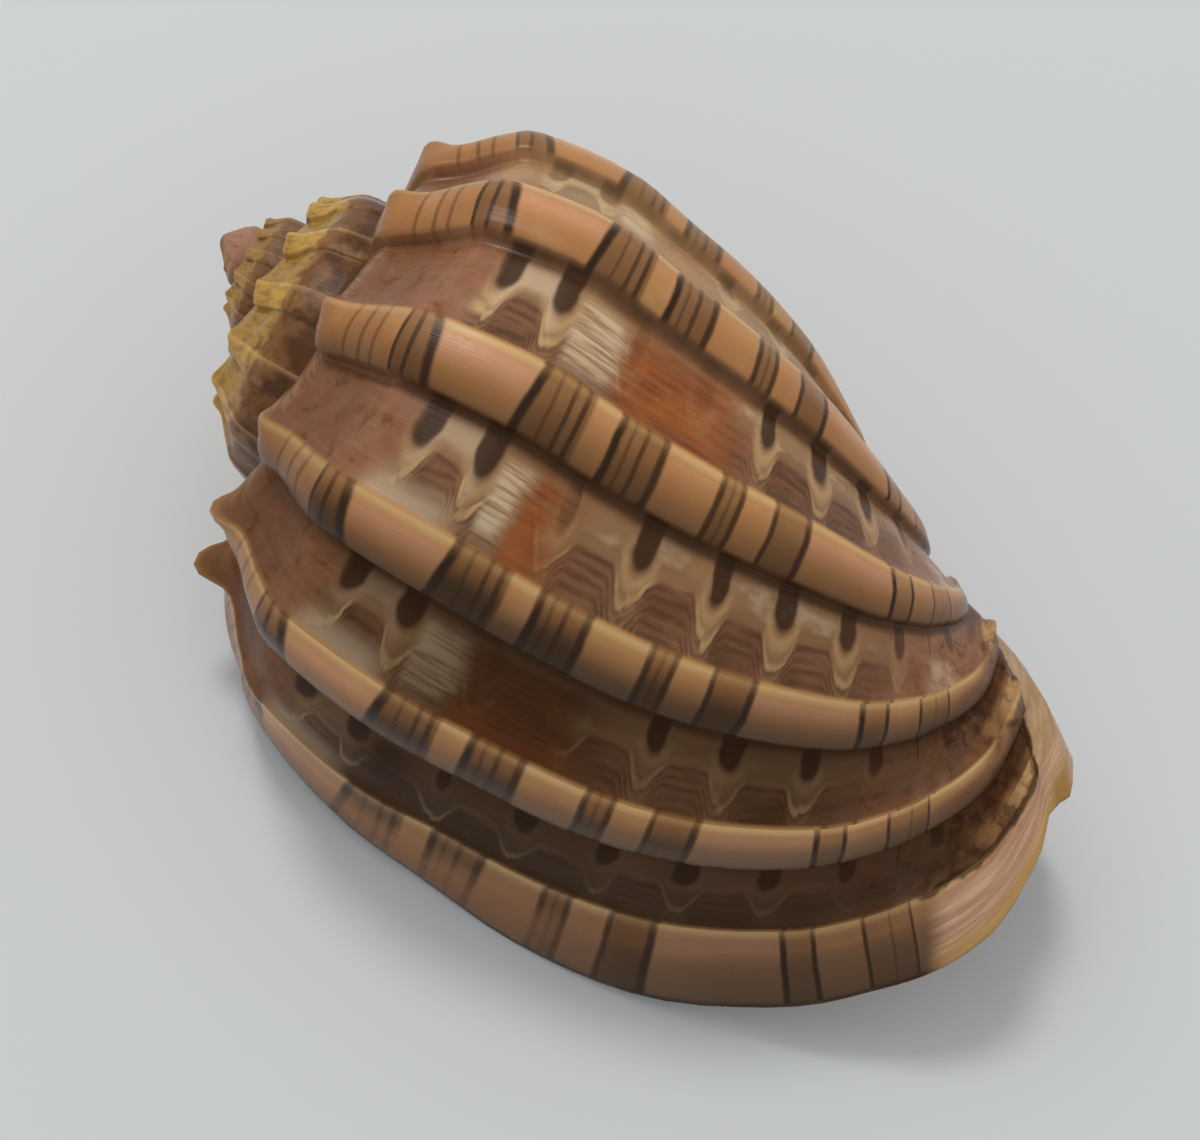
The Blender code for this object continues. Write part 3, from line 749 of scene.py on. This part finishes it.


class Enamel(Recipe):
    """Paints the wall.

    g is the growth angle, t the place along the curve, u the way across a rib
    face from its crest to its foot and w the way across a groove floor.
    """

    def __init__(self, tree, colours):
        super().__init__(tree)
        self.colours = colours
        uv = self.value("ShaderNodeUVMap", uv_map="wall")
        parts = self.node("ShaderNodeSeparateXYZ", (uv,)).outputs
        self.g = Value(self, parts[0]) * 360.0
        self.t = Value(self, parts[1]) * 20.0
        self.lining = self.value("ShaderNodeAttribute", output="Fac", attribute_name="lining")
        self.solid = self.value("ShaderNodeTexCoord", output="Object")
        ribs = self.g / RIB_PITCH
        self.rib = ribs.maths("FLOOR")
        self.phase = ribs.maths("FRACT")
        self.luck = self.chance(self.rib)
        self.u = self.phase.maths("DIVIDE", FACE_SHARE, clamp=True) * (self.phase < 0.8)
        face = FACE_SHARE + STEP_SHARE
        self.w = (self.phase - face).maths("DIVIDE", 1.0 - face, clamp=True)
        self.wander = self.streaks(0.12, 1.7, 2.0, 3.0) - 0.5
        self.cloud = self.streaks(0.13, 1.6, 3.0, 9.0)
        self.strands = self.streaks(0.9, 0.40, 4.0, 7.0)
        self.mottle = self.noise(self.solid, 260.0, 4.0, 1.0)

    def blend(self, share, low, high):
        """Low where share is 0 and high where it is 1; names stand for colours."""
        low, high = ((*getattr(self.colours, tone), 1.0) if isinstance(tone, str) else tone
                     for tone in (low, high))
        return self.value("ShaderNodeMix", {0: share, 6: low, 7: high}, 2, data_type="RGBA")

    def coats(self, tone, *layers):
        """A tone with others laid over it in turn, each with the share it covers."""
        for share, over in layers:
            tone = self.blend(share, tone, over)
        return tone

    def noise(self, vector, scale, detail, seed):
        """Cloudy noise from 0 to 1."""
        sources = {"Vector": vector, "W": seed, "Scale": scale, "Detail": detail,
                   "Roughness": 0.6}
        return self.value("ShaderNodeTexNoise", sources, "Fac", noise_dimensions="4D")

    def streaks(self, with_growth, down_curve, detail, seed):
        """Noise drawn out along the growth or down the curve."""
        place = (self.g * with_growth, self.t * down_curve)
        return self.noise(self.value("ShaderNodeCombineXYZ", place), 1.0, detail, seed)

    def chance(self, number):
        """A random number from 0 to 1 for each whole number."""
        return self.value("ShaderNodeTexWhiteNoise", {"W": number}, "Value",
                          noise_dimensions="1D")

    def strayed(self, amount):
        """The place along the curve, wandering a little and differing from rib to rib."""
        return self.t + self.wander * amount + (self.luck - 0.5) * 0.05

    def leaning(self, t, lean):
        """Places moved back as much as a mark leans between crest and foot."""
        return t - self.u * lean if lean else t

    def rib_faces(self):
        """Peach panels between groups of brown lines, a pale crest that is partly painted
        highlight, and painted shade towards the foot.
        """
        u, rib = self.u, self.rib
        odd = self.chance(rib + 0.5) - 0.65
        t = self.strayed(0.06) + self.t.rise(9.4, 10.8) * odd * 0.3
        # pinker panel centres: partly the panels' own pink, partly painted highlight
        blush = most(t.peak(5.5, 0.5, 1.3), t.peak(9.5, 0.6, 1.3)) * 0.8
        narrow = t.rise(6.0, 6.3) * t.fall(8.9, 9.1) * rib.peak(-2.0, 0.5, 2.6)
        # painted shade: the lower part of the youngest rib faces darkened, less where the lip face
        # is lit
        lit = rib.rise(-0.9, -0.1) * t.fall(6.8, 8.2) * u.rise(0.45, 0.75) * 0.8
        late = self.g.rise(-95.0, -10.0, 0.15, 0.75) * (1.0 - lit)
        face = self.coats(
            "peach", (self.streaks(0.056, 1.4, 3.0, 7.0).rise(0.35, 0.65), "apricot"),
            # paler towards the crest: painted light
            (u.rise(0.05, 0.40, 0.22, 0.0), "cream"),
            (blush * u.rise(0.05, 0.25) * u.fall(0.4, 0.8), "blush"),
            (t.rise(4.9, 5.1, 0.45, 0.0), "tan"),
            (self.mottle.rise(0.45, 0.8, 0.0, 0.4), "cream"),
            (self.strands.rise(0.5, 0.75, 0.0, 0.14), "tan"),
            # darker towards the foot, more on the younger ribs and most on the lower face of rib
            # -2: painted shade
            (u.rise(0.12, 0.75) * rib.rise(-4.5, -2.0, 0.30, 0.75), "tan"),
            (u.rise(0.55, 1.0) * rib.rise(-4.5, -2.0, 0.10, 0.60), "umber"),
            (narrow * u.rise(0.35, 0.85) * 0.60, "umber"),
            (late * u.rise(0.0, 0.6, 0.2, 1.0) * t.rise(5.0, 9.0, 0.35, 1.0), "face_shade"),
        )
        groups = []
        for low, high, lean_low, lean_high, strength in RIB_GROUPS:
            begun = self.leaning(t, lean_low).rise(low - 0.03, low + 0.03)
            ended = self.leaning(t, lean_high).fall(high - 0.03, high + 0.03)
            groups.append(begun * ended * strength)
        # the groups darken towards the foot and on the youngest ribs: partly their own brown,
        # partly painted shade
        at_crest = rib.rise(-2.0, 0.0, 0.78, 0.92)
        at_foot = rib.rise(-3.0, -2.0, 0.60, 0.96)
        depth = at_crest + u.rise(0.0, 0.5) * (at_foot - at_crest)
        fading = (rib.rise(-0.9, -0.1) * u.rise(0.22, 0.60) * t.fall(7.8, 9.0)
                  * self.cloud.rise(0.3, 0.6, 0.55, 0.9))
        kept = 1.0 - fading
        group = most(*groups) * depth * kept
        # pale crest line: partly the crest's own cream, partly painted highlight
        crest = self.phase.rise(0.010, 0.06, 0.85, 0.0) * group.rise(0.0, 0.8, 1.0, 0.30)
        dull = t.rise(11.9, 12.6) * self.cloud.rise(0.30, 0.55, 0.35, 1.0)
        lines = most(*(self.leaning(t, lean).peak(place, half, 1.9) * strength
                       for place, half, lean, strength in RIB_LINES))
        return self.coats(
            face, (fading * 0.5, "mauve"),
            # hazel at the crest to umber at the foot, and lines stronger towards the foot: partly
            # painted shade
            (group, self.blend(u.rise(0.0, 0.6), "hazel", "umber")),
            (crest * t.rise(4.7, 5.2, 0.45, 1.0), "cream"),
            (dull * u.rise(0.15, 0.5, 0.0, 0.65), "clay"),
            (lines * u.rise(0.0, 0.30, 0.55, 0.97) * (kept * 0.75 + 0.25), "line"),
        )

    def cells(self, t):
        """-1 to 1 over each stretch between two spots, and a random number for it."""
        node = self.node("ShaderNodeFloatCurve", {"Value": t / 20.0})
        curve = node.mapping.curves[0]
        count = len(SPOTS) + 1
        for k, (place, _) in enumerate(SPOTS, 1):
            curve.points.new(place / 20.0, k / count)
        for point in curve.points:
            point.handle_type = "VECTOR"
        node.mapping.update()
        cell = Value(self, node.outputs[0]) * float(count)
        luck = self.chance(self.rib * 37.0 + cell.maths("FLOOR"))
        return cell.maths("FRACT") * 2.0 - 1.0, luck

    def groove_floors(self):
        """Mauve domes with rings, a pale wavy edge, brown spots and chestnut patches, with painted
        shadow under the rib feet, painted shade on the youngest floors and a painted highlight.
        """
        w, rib, cloud, strands = self.w, self.rib, self.cloud, self.strands
        t = self.strayed(0.14)
        x, luck = self.cells(t)
        square = x.maths("ABSOLUTE").rise(0.42, 0.93)
        celled = t.rise(5.12, 5.30)
        far = t.rise(9.6, 11.0, 1.0, 0.12)
        cloudy = cloud.rise(0.35, 0.65)
        patchy = self.streaks(0.22, 2.6, 3.0, 31.0)
        plain = self.coats(
            "russet", (cloudy, "mauve"),
            (strands.rise(0.46, 0.72, 0.0, 0.5), "taupe"),
            (patchy.rise(0.44, 0.62, 0.0, 0.45), "rose"),
            (patchy.rise(0.34, 0.44, 0.5, 0.0), "glaze"),
            (t.rise(3.4, 4.8, 0.40, 0.0), "glaze"),
        )
        level = w - square * 0.34 + self.wander * 0.22 + (luck - 0.5) * 0.12
        waves = (level * 8.5).maths("FRACT").peak(0.5, 0.2, 2.0)
        soft = self.streaks(0.4, 2.0, 2.0, 15.0).rise(0.35, 0.65, 0.10, 0.45)
        white = most(t.peak(5.6, 0.3, 1.3) * 0.7, cloud.rise(0.52, 0.66, 0.0, 0.6))
        bright = square.rise(0.0, 0.6, 0.20, 0.62) * cloud.rise(0.35, 0.60, 0.35, 1.0)
        dome = self.coats(
            "mauve", (cloudy, "clay"),
            (strands.rise(0.52, 0.78, 0.0, 0.3), "taupe"),
            (luck.rise(0.0, 1.0, 0.35, 0.0), "umber"),
            (square.rise(0.35, 1.0) * level.rise(0.40, 0.50) * 0.40, "taupe"),
            (waves * level.rise(0.44, 0.5) * soft, "line"),
            # painted shade: the far side of the domes darkened on the youngest floors
            (w.rise(0.6, 1.0) * rib.rise(-3.0, -1.0, 0.1, 0.6), "umber"),
            (level.fall(0.30, 0.46) * w.rise(0.0, 0.2) * rib.rise(-4.0, -1.0, 0.85, 0.15),
             self.blend(white, "taupe", "chalk")),
            (level.peak(0.44, 0.020, 4.2) * bright * t.rise(6.5, 8.5, 1.0, 0.70), "cream"),
        )
        chalky = t.peak(11.8, 0.5) * w.rise(0.4, 0.7) * cloud.rise(0.36, 0.66)

        # chestnut patch, and the cream one before it
        start = self.luck * 0.3 + 6.4
        stop = self.luck * 1.3 + 6.9
        for number, begins, ends in CHESTNUT:
            here = rib.maths("COMPARE", number, 0.5)
            start = start + here * (begins - start)
            stop = stop + here * (ends - stop)
        ragged = t + strands * 0.22 + cloud * 0.40 - 0.31
        after = (ragged - start).rise(-0.18, 0.14)
        burnt = after * (ragged - stop).fall(-0.45, 0.20)
        creamy = (t.rise(6.0, 6.12) * (1.0 - after) * w.rise(0.1, 0.3)
                  * w.rise(0.75, 0.95, 1.0, 0.2) * rib.rise(-3.0, -1.0, 0.85, 0.12))
        ripple = self.streaks(1.3, 1.2, 3.0, 21.0).rise(0.40, 0.66)
        hue = self.coats(
            "chestnut", (strands.rise(0.40, 0.68, 0.0, 0.7), "spot"),
            (self.streaks(0.5, 1.2, 3.0, 27.0).rise(0.45, 0.62, 0.0, 0.6), "russet"),
            (cloud.rise(0.4, 0.7, 0.0, 0.6), "amber"),
            # painted shade: the chestnut darkened on the youngest floors
            (rib.rise(-3.0, -1.5) * w.rise(0.45, 0.85, 0.95, 0.65), "spot"),
        )

        # spots, each with a pale rim, and painted shadow under the foot of the rib face
        near = None
        for place, half in SPOTS:
            away = (t - place).maths("ABSOLUTE") / half
            near = away if near is None else near.maths("MINIMUM", away)
        longer = rib.rise(-3.0, -1.0, 0.26, 0.16) + self.luck * 0.06
        down = (w - 0.22).maths("MAXIMUM", 0.0) / longer
        round_end = near * near + down * down
        clear = burnt.rise(0.0, 0.8, 1.0, 0.15) * celled
        rim = (round_end.rise(1.2, 1.9) * round_end.fall(1.9, 3.6) * w.rise(0.15, 0.5)
               * far * rib.rise(-4.0, -1.0, 1.0, 0.3))
        spot = round_end.fall(0.55, 1.35) * t.rise(9.3, 11.5, 1.0, 0.6)
        # painted shade: the youngest floors darkened towards the line colour
        late = rib.rise(-3.0, -1.5) * t.rise(5.2, 6.8, 0.35, 1.0) * w.rise(0.70, 0.95, 0.62, 0.35)
        # painted highlight: a pale glow on the floor just before the next crest
        painted_highlight = t.peak(5.45, 0.40, 1.4) * w.rise(0.62, 0.95) * rib.rise(-4.0, -3.0)
        # painted shadow under the foot of the rib face
        foot = w.rise(0.0, 0.14, 0.75, 0.0) * t.rise(4.0, 5.2, 0.2, 1.0)
        return self.coats(
            plain, (celled * far, dome),
            (chalky * rib.rise(-3.5, -2.0, 0.7, 0.25), "chalk"),
            (creamy, self.blend(ripple, "chalk", "taupe")),
            (burnt * w.rise(0.0, 0.25) * 0.92, hue),
            (rim * clear * 0.28, "cream"), (spot * clear * 0.90, "spot"), (late, "line"),
            (painted_highlight * 0.50, "chalk"), (foot * rib.rise(-5.0, -3.0, 0.3, 1.0), "umber"),
        )

    def pillar_end(self, wall):
        """Brown lumps with pale tops where the ribs end, and a smooth band beyond them."""
        u, t, phase, cloud = self.u, self.t, self.phase, self.cloud
        ragged = t + self.wander * 0.9
        top = most(u.fall(0.0, 0.45), phase.rise(0.85, 1.0)) * t.peak(14.75, 0.35, 2.0)
        lumps = self.coats(
            "clay", (cloud.rise(0.35, 0.65), "mauve"),
            (cloud.rise(0.45, 0.60, 0.0, 0.5), "ochre"),
            (top * self.mottle.rise(0.35, 0.6, 0.15, 0.6), "cream"),
            (u.rise(0.45, 0.9) * phase.fall(0.6, 0.8) * 0.8, "spot"),
        )
        flecks = self.noise(self.solid, 700.0, 3.0, 37.0)
        flecked = ragged.rise(11.6, 12.8) * phase.rise(0.32, 0.45) * phase.fall(0.93, 1.0)
        flecked = most(flecked, ragged.rise(13.6, 14.4))
        smooth = self.blend(cloud.rise(0.35, 0.75, 0.05, 0.45), "taupe", "chalk")
        return self.coats(
            wall, (ragged.rise(13.0, 14.0, 0.0, 0.75), lumps),
            (flecked * flecks.rise(0.36, 0.50, 0.62, 0.0), "spot"),
            (flecked * flecks.rise(0.55, 0.68, 0.0, 0.38), "tan"),
            (ragged.rise(15.25, 15.45), smooth),
            (ragged.peak(15.30, 0.10, 2.2) * 0.75, "spot"),
        )

    def spire(self, wall, step):
        """Yellow shoulders and brown glaze below them on the older whorls."""
        g, cloud = self.g, self.cloud
        drip = self.t + self.wander * 3.2
        old = self.coats(
            "straw", (self.streaks(0.3, 1.5, 3.0, 23.0).rise(0.4, 0.7, 0.0, 0.6), "clay"),
            (drip.rise(3.7, 4.7, 0.0, 0.85), self.blend(cloud.rise(0.3, 0.7), "glaze", "plum")),
            (drip.rise(4.9, 5.6, 0.0, 0.7), "spot"),
            (self.t.rise(0.9, 1.7, 0.65, 0.0), "taupe"),
            # the pale crest line is partly the crest's own cream, partly painted highlight
            (step * 0.30, "glaze"), (self.phase.fall(0.0, 0.10) * 0.25, "cream"),
        )
        return self.coats(
            wall, (g.fall(-372.0, -318.0), old),
            (g.fall(-900.0, -680.0) * 0.7, self.blend(cloud, "taupe", "glaze")),
            (g.fall(-1180.0, -1060.0), "rose"),
        )

    def inside(self, wall):
        """Porcelain of the aperture, stained on the callus and at its two ochre corners."""
        g, t, wander = self.g, self.t, self.wander
        blotch = self.noise(self.solid, 75.0, 2.0, 17.0)
        stain = blotch.rise(0.56, 0.62) * g.fall(-330.0, -300.0) * 0.85
        nacre = self.coats("porcelain", (blotch.rise(0.35, 0.65), "peach"), (stain, "glaze"))
        ahead = self.value("ShaderNodeSeparateXYZ", (self.solid,)) + wander * 0.004
        return self.coats(
            wall, ((self.lining + wander * 0.4).rise(0.35, 0.65), nacre),
            (ahead.rise(0.0270, 0.0350) * t.rise(19.5, 20.0) * 0.85, "ochre"),
            (g.rise(4.0, 9.0) * t.peak(16.40, 0.32, 2.0) * g.fall(30.0, 40.0) * 0.9, "ochre"),
        )

    def painted_shade_share(self):
        """How much painted shade darkens the youngest ribs and grooves, on their side turned from
        the light.
        """
        t, u, w, rib = self.t, self.u, self.w, self.rib
        on_lip = self.g.rise(-0.5, 0.0) * t.fall(12.2, 12.7)
        faces = most(rib.rise(-4.0, -2.0, 0.0, 0.28) * rib.fall(-2.0, -1.0),
                     u.rise(0.10, 0.40, 0.20, 0.0),
                     on_lip * t.rise(8.8, 9.8) * u.rise(0.1, 0.4) * 0.26,
                     on_lip * t.rise(5.0, 5.6) * u.rise(0.20, 0.45, 0.40, 0.0))
        deepest = rib.rise(-2.0, -1.0) * w.rise(0.3, 0.6) * t.rise(5.2, 6.0) * 0.20
        floors = rib.rise(-4.0, -1.5, 0.05, 0.33) + deepest
        return floors + self.phase.fall(0.35, 0.40) * (faces - floors)

    def lip_end(self, wall):
        """The plain, streaked end of the lip with its brown border and yellow edge."""
        g, t, wander = self.g, self.t, self.wander
        plain = g.rise(0.2, 0.8) * t.rise(12.0, 12.6) * self.u.rise(0.0, 0.25)
        streaked = self.streaks(1.1, 0.5, 3.0, 41.0).rise(0.42, 0.66, 0.0, 0.5)
        border = (g + wander * 4.0).peak(0.0, 0.7, 1.8) * t.rise(11.8, 12.1) * t.fall(15.2, 15.4)
        edge = (g + wander * 5.0).rise(7.0, 11.0) * t.rise(11.9, 12.8) * t.fall(15.5, 17.0)
        return self.coats(wall, (plain * 0.8, "shade"), (plain * streaked, "chalk"),
                          (border * 0.8, "spot"), (edge * 0.65, "straw"))

    def coat(self):
        """The whole enamel, from its parts."""
        t, rib, phase = self.t, self.rib, self.phase
        step = phase.rise(0.355, 0.385) * phase.fall(0.965, 1.0)
        pale = (rib.rise(-4.9, -4.1, 0.34, 0.0) * rib.rise(-7.5, -6.0) * t.rise(3.5, 4.5)
                * self.mottle.rise(0.3, 0.6, 0.6, 1.0) * phase.rise(0.35, 0.45, 0.30, 1.0))
        shelf = self.blend(self.strands.rise(0.35, 0.72), "clay", "taupe")
        # the groove floors go in, then painted shade over the youngest ribs and grooves
        wall = self.coats(
            self.rib_faces(), (step, self.groove_floors()), (self.painted_shade_share(), PAINTED_SHADE_TINT),
            (pale, "cream"), (t.rise(1.7, 2.5, 0.60, 0.0), shelf),
        )
        return self.inside(self.spire(self.lip_end(self.pillar_end(wall)), step))


def enamel(colours):
    """Glossy banded enamel of the outside, and the porcelain of the lining."""
    material = bpy.data.materials.new("harp_enamel")
    material.use_nodes = True
    material.node_tree.nodes.clear()
    paint = Enamel(material.node_tree, colours)
    relief = paint.streaks(2.2, 0.35, 4.0, 19.0) * paint.lining.fall(0.2, 0.8)
    bump = paint.value("ShaderNodeBump", {"Strength": 0.22, "Distance": 0.00018, "Height": relief})
    in_groove = paint.rib.rise(-4.0, -1.5) * paint.phase.rise(0.30, 0.42)
    shader = paint.value("ShaderNodeBsdfPrincipled", {
        "Base Color": paint.coat(), "Roughness": paint.mottle.rise(0.3, 0.8, 0.20, 0.36),
        "Normal": bump, "Specular IOR Level": in_groove * -0.14 + 0.18})
    paint.node("ShaderNodeOutputMaterial", (shader,))
    return material


def plain_stage_material(name, tint):
    """Matt paper with a very faint cloudiness."""
    material = bpy.data.materials.new(name)
    material.use_nodes = True
    paint = Recipe(material.node_tree)
    where = paint.value("ShaderNodeTexCoord", output="Object")
    cloud = paint.value("ShaderNodeTexNoise", {"Vector": where, "Scale": 9.0, "Detail": 2.0})
    dim = tuple(0.975 * value for value in tint)
    tone = paint.value("ShaderNodeMix", {0: cloud, 6: (*dim, 1.0), 7: (*tint, 1.0)}, 2,
                       data_type="RGBA")
    shader = material.node_tree.nodes["Principled BSDF"]
    paint.tree.links.new(tone.socket, shader.inputs["Base Color"])
    shader.inputs["Roughness"].default_value = 0.85
    shader.inputs["Specular IOR Level"].default_value = 0.2
    return material


# ---------------------------------------------------------------- settings
# lights: place and width in metres, tint
KEY_LIGHT = (-0.70, 0.20, 1.05), 1.00, (1.0, 0.985, 0.96)
WINDOW_LIGHT = (-0.33, 0.26, 0.78), 0.18, (1.0, 0.99, 0.98)
SKY_TINT = (0.98, 0.99, 1.0, 1.0)
CAMERA_PLACE = (0.01226, -0.05796, 0.14732)     # metres
CAMERA_TURN = (22.583, -7.370, 30.035)          # degrees
SENSOR_WIDTH = 36.0         # millimetres
NEAREST_SEEN = 0.01         # metres


def tint_setting(label, red, green, blue, told):
    """A colour setting, given as the eye sees it and kept as light."""
    light = [(v / 255.0 + 0.055) / 1.055 for v in (red, green, blue)]
    light = [max(v, 0.04) ** 2.4 for v in light]
    return bpy.props.FloatVectorProperty(
        name=label, description=told, subtype="COLOR", size=3, min=0.0, max=1.0, default=light)


def number_setting(label, value, told, high=4.0, **more):
    """A plain number setting."""
    return bpy.props.FloatProperty(
        name=label, description=told, default=value, min=0.0, max=high, **more)


class HarpShape(bpy.types.PropertyGroup):
    """Sizes of the coil, its ribs and its lip."""
    whorl_ratio: number_setting("Whorl Ratio", WHORL_RATIO, "Growth in size over one turn")
    ribs_per_turn: bpy.props.IntProperty(
        name="Ribs per Turn", description="Ribs on one whorl", default=RIBS_PER_TURN, min=4)
    rib_depth: number_setting("Rib Depth", 1.0, "Height of the ribs over the groove floors")
    face_share: number_setting("Face Share", FACE_SHARE, "Share of the spacing that is rib face")
    step_share: number_setting("Step Share", STEP_SHARE, "Share of the spacing that is the step")
    face_bulge: number_setting("Face Bulge", 0.13, "Swelling of the rib face")
    face_fall: number_setting("Face Fall", 0.32, "Drop of the rib face at its far edge")
    floor_drop: number_setting("Floor Drop", 1.10, "Depth of the groove floor at the step")
    floor_rise: number_setting("Floor Rise", 0.90, "How much of that the floor regains")
    spine_height: number_setting("Spine Height", 1.2, "Height of the shoulder spines, units")
    lip_flare: number_setting("Lip Flare", 6.4, "Spread of the outer lip, units", 12.0)
    growth_relief: number_setting("Growth Relief", 0.5, "Unevenness of the wall, units")
    seed: number_setting("Seed", 5.0, "Which unevenness is used", 1000.0)


class HarpColours(bpy.types.PropertyGroup):
    """Colours of the enamel."""
    peach: tint_setting("Peach", 202, 138, 88, "Rib panels")
    apricot: tint_setting("Apricot", 206, 148, 90, "Rib panels, yellower")
    # painted shade for the lower part of the youngest rib faces
    face_shade: tint_setting("Face Shade", 98, 76, 58, "Lower part of the youngest rib faces")
    blush: tint_setting("Blush", 222, 160, 120, "Rib panels, pinker")
    # cream is also used for the painted highlight along the crests
    cream: tint_setting("Cream", 232, 190, 130, "Crests of the ribs, pale edges")
    # tan also serves as painted shade towards the feet of the rib faces
    tan: tint_setting("Tan", 144, 94, 48, "Feet of the rib faces")
    shade: tint_setting("Shell Pink", 186, 140, 112, "Smooth band at the pillar end")
    hazel: tint_setting("Hazel", 144, 94, 50, "Dark groups at the crest")
    # umber also serves as painted shade at and under the feet of the rib faces and on the youngest
    # groove floors
    umber: tint_setting("Umber", 68, 44, 20, "Dark groups at the foot")
    line: tint_setting("Line", 46, 26, 8, "Brown lines")
    russet: tint_setting("Russet", 146, 92, 60, "Groove floors near the shoulder")
    mauve: tint_setting("Mauve", 148, 102, 74, "Groove floors")
    clay: tint_setting("Clay", 114, 76, 50, "Groove floors, browner")
    taupe: tint_setting("Taupe", 166, 128, 88, "Groove floors, paler")
    chalk: tint_setting("Chalk", 220, 194, 158, "Chalky patches")
    chestnut: tint_setting("Chestnut", 148, 76, 32, "Chestnut patches")
    amber: tint_setting("Amber", 178, 104, 48, "Brightest of the chestnut")
    spot: tint_setting("Spot", 52, 25, 8, "Spots below the ribs")
    ochre: tint_setting("Ochre", 156, 118, 60, "Lumps at the pillar end")
    straw: tint_setting("Straw", 190, 148, 70, "Spire shoulders")
    glaze: tint_setting("Glaze", 92, 52, 22, "Brown glaze of the spire")
    plum: tint_setting("Plum", 130, 88, 62, "Paler glaze of the spire")
    rose: tint_setting("Rose", 164, 116, 92, "Apex")
    porcelain: tint_setting("Porcelain", 226, 196, 164, "Lining")


class HarpStage(bpy.types.PropertyGroup):
    """Floor, light and camera."""
    floor_tint: tint_setting("Floor", 214, 217, 218, "Colour of the floor")
    floor_size: number_setting("Floor Size", 4.0, "Width of the floor", 20.0, unit="LENGTH")
    key_power: number_setting("Key Light", 2.7, "Power of the large soft light", 100.0)
    fill_power: number_setting("Window Light", 2.2, "Power of the low light at the side", 100.0)
    sky: number_setting("Sky", 0.55, "Strength of the even light all round")
    lens: number_setting("Lens", 64.5, "Focal length in millimetres", 300.0)


# ---------------------------------------------------------------- operators
class HARP_OT_shell(bpy.types.Operator):
    """Wind the ribbed shell and give it its enamel."""
    bl_idname = "harp.shell"
    bl_label = "Wind the Shell"

    def execute(self, context):
        shape = context.scene.harp_shape
        material = enamel(context.scene.harp_colours)
        name = "harp_shell_wound"
        shell = bpy.data.objects.new(name, unwound_mesh(name + "_skin"))
        context.scene.collection.objects.link(shell)
        inputs = {shape.bl_rna.properties[key].name: float(getattr(shape, key))
                  for key in HarpShape.__annotations__}
        tree = rib_tree("Harp Ribs and Coil", material, inputs)
        modifier = shell.modifiers.new("Ribs and Coil", "NODES")
        modifier.node_group = tree
        for socket in tree.interface.items_tree:
            if socket.name in inputs:
                modifier[socket.identifier] = inputs[socket.name]
        plain_mesh(shell, name)
        if not shell.data.polygons:
            raise RuntimeError("the coil came out empty")
        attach(shell, "root")
        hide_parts("harp_shell")
        return {"FINISHED"}


class HARP_OT_stage(bpy.types.Operator):
    """Lay the pale floor and set the light and the camera."""
    bl_idname = "harp.stage"
    bl_label = "Set the Stage"

    def execute(self, context):
        scene = context.scene
        stage = scene.harp_stage
        half = stage.floor_size / 2.0
        corners = [(-half, -half, 0.0), (half, -half, 0.0), (half, half, 0.0), (-half, half, 0.0)]
        mesh = bpy.data.meshes.new("floor")
        mesh.from_pydata(corners, [], [(0, 1, 2, 3)])
        mesh.materials.append(plain_stage_material("floor_paper", tuple(stage.floor_tint)))
        floor = bpy.data.objects.new("floor", mesh)
        scene.collection.objects.link(floor)

        lights = (("key_light", stage.key_power, *KEY_LIGHT),
                  ("window_light", stage.fill_power, *WINDOW_LIGHT))
        for name, power, place, size, tint in lights:
            data = bpy.data.lights.new(name, "AREA")
            data.shape = "DISK"
            data.size = size
            data.energy = power
            data.color = tint
            light = bpy.data.objects.new(name, data)
            light.matrix_world = Matrix.Translation(place) @ aim(place)
            scene.collection.objects.link(light)
        world = bpy.data.worlds.new("even_light")
        world.use_nodes = True
        background = world.node_tree.nodes["Background"]
        background.inputs["Color"].default_value = SKY_TINT
        background.inputs["Strength"].default_value = stage.sky
        scene.world = world
        scene.view_settings.view_transform = "Standard"

        data = bpy.data.cameras.new("camera")
        data.lens = stage.lens
        data.sensor_width = SENSOR_WIDTH
        data.clip_start = NEAREST_SEEN
        camera = bpy.data.objects.new("camera", data)
        camera.location = CAMERA_PLACE
        camera.rotation_euler = [math.radians(v) for v in CAMERA_TURN]
        scene.collection.objects.link(camera)
        scene.camera = camera
        return {"FINISHED"}


def aim(place):
    """A turn that points a light at the middle of the shell."""
    x, y, z = place
    away = Matrix.Rotation(math.atan2(x, -y), 4, "Z")
    return away @ Matrix.Rotation(math.atan2(math.hypot(x, y), z), 4, "X")


class HARP_PT_panel(bpy.types.Panel):
    """Settings and steps of the harp shell."""
    bl_idname = "HARP_PT_panel"
    bl_label = "Harp Shell"
    bl_space_type = "VIEW_3D"
    bl_region_type = "UI"
    bl_category = "Harp Shell"

    def draw(self, context):
        layout = self.layout
        scene = context.scene
        groups = (("Shape", scene.harp_shape), ("Colours", scene.harp_colours),
                  ("Stage", scene.harp_stage))
        for title, group in groups:
            box = layout.box()
            box.label(text=title)
            for key in group.__annotations__:
                box.prop(group, key)
        layout.operator(HARP_OT_shell.bl_idname)
        layout.operator(HARP_OT_stage.bl_idname)


CLASSES = (HarpShape, HarpColours, HarpStage, HARP_OT_shell, HARP_OT_stage, HARP_PT_panel)


def register():
    for kind in CLASSES:
        bpy.utils.register_class(kind)
    bpy.types.Scene.harp_shape = bpy.props.PointerProperty(type=HarpShape)
    bpy.types.Scene.harp_colours = bpy.props.PointerProperty(type=HarpColours)
    bpy.types.Scene.harp_stage = bpy.props.PointerProperty(type=HarpStage)


def unregister():
    for name in ("harp_shape", "harp_colours", "harp_stage"):
        delattr(bpy.types.Scene, name)
    for kind in reversed(CLASSES):
        bpy.utils.unregister_class(kind)


def main():
    """Build everything in order."""
    register()
    bpy.ops.harp.shell()
    bpy.ops.harp.stage()


if __name__ == "__main__":
    main()
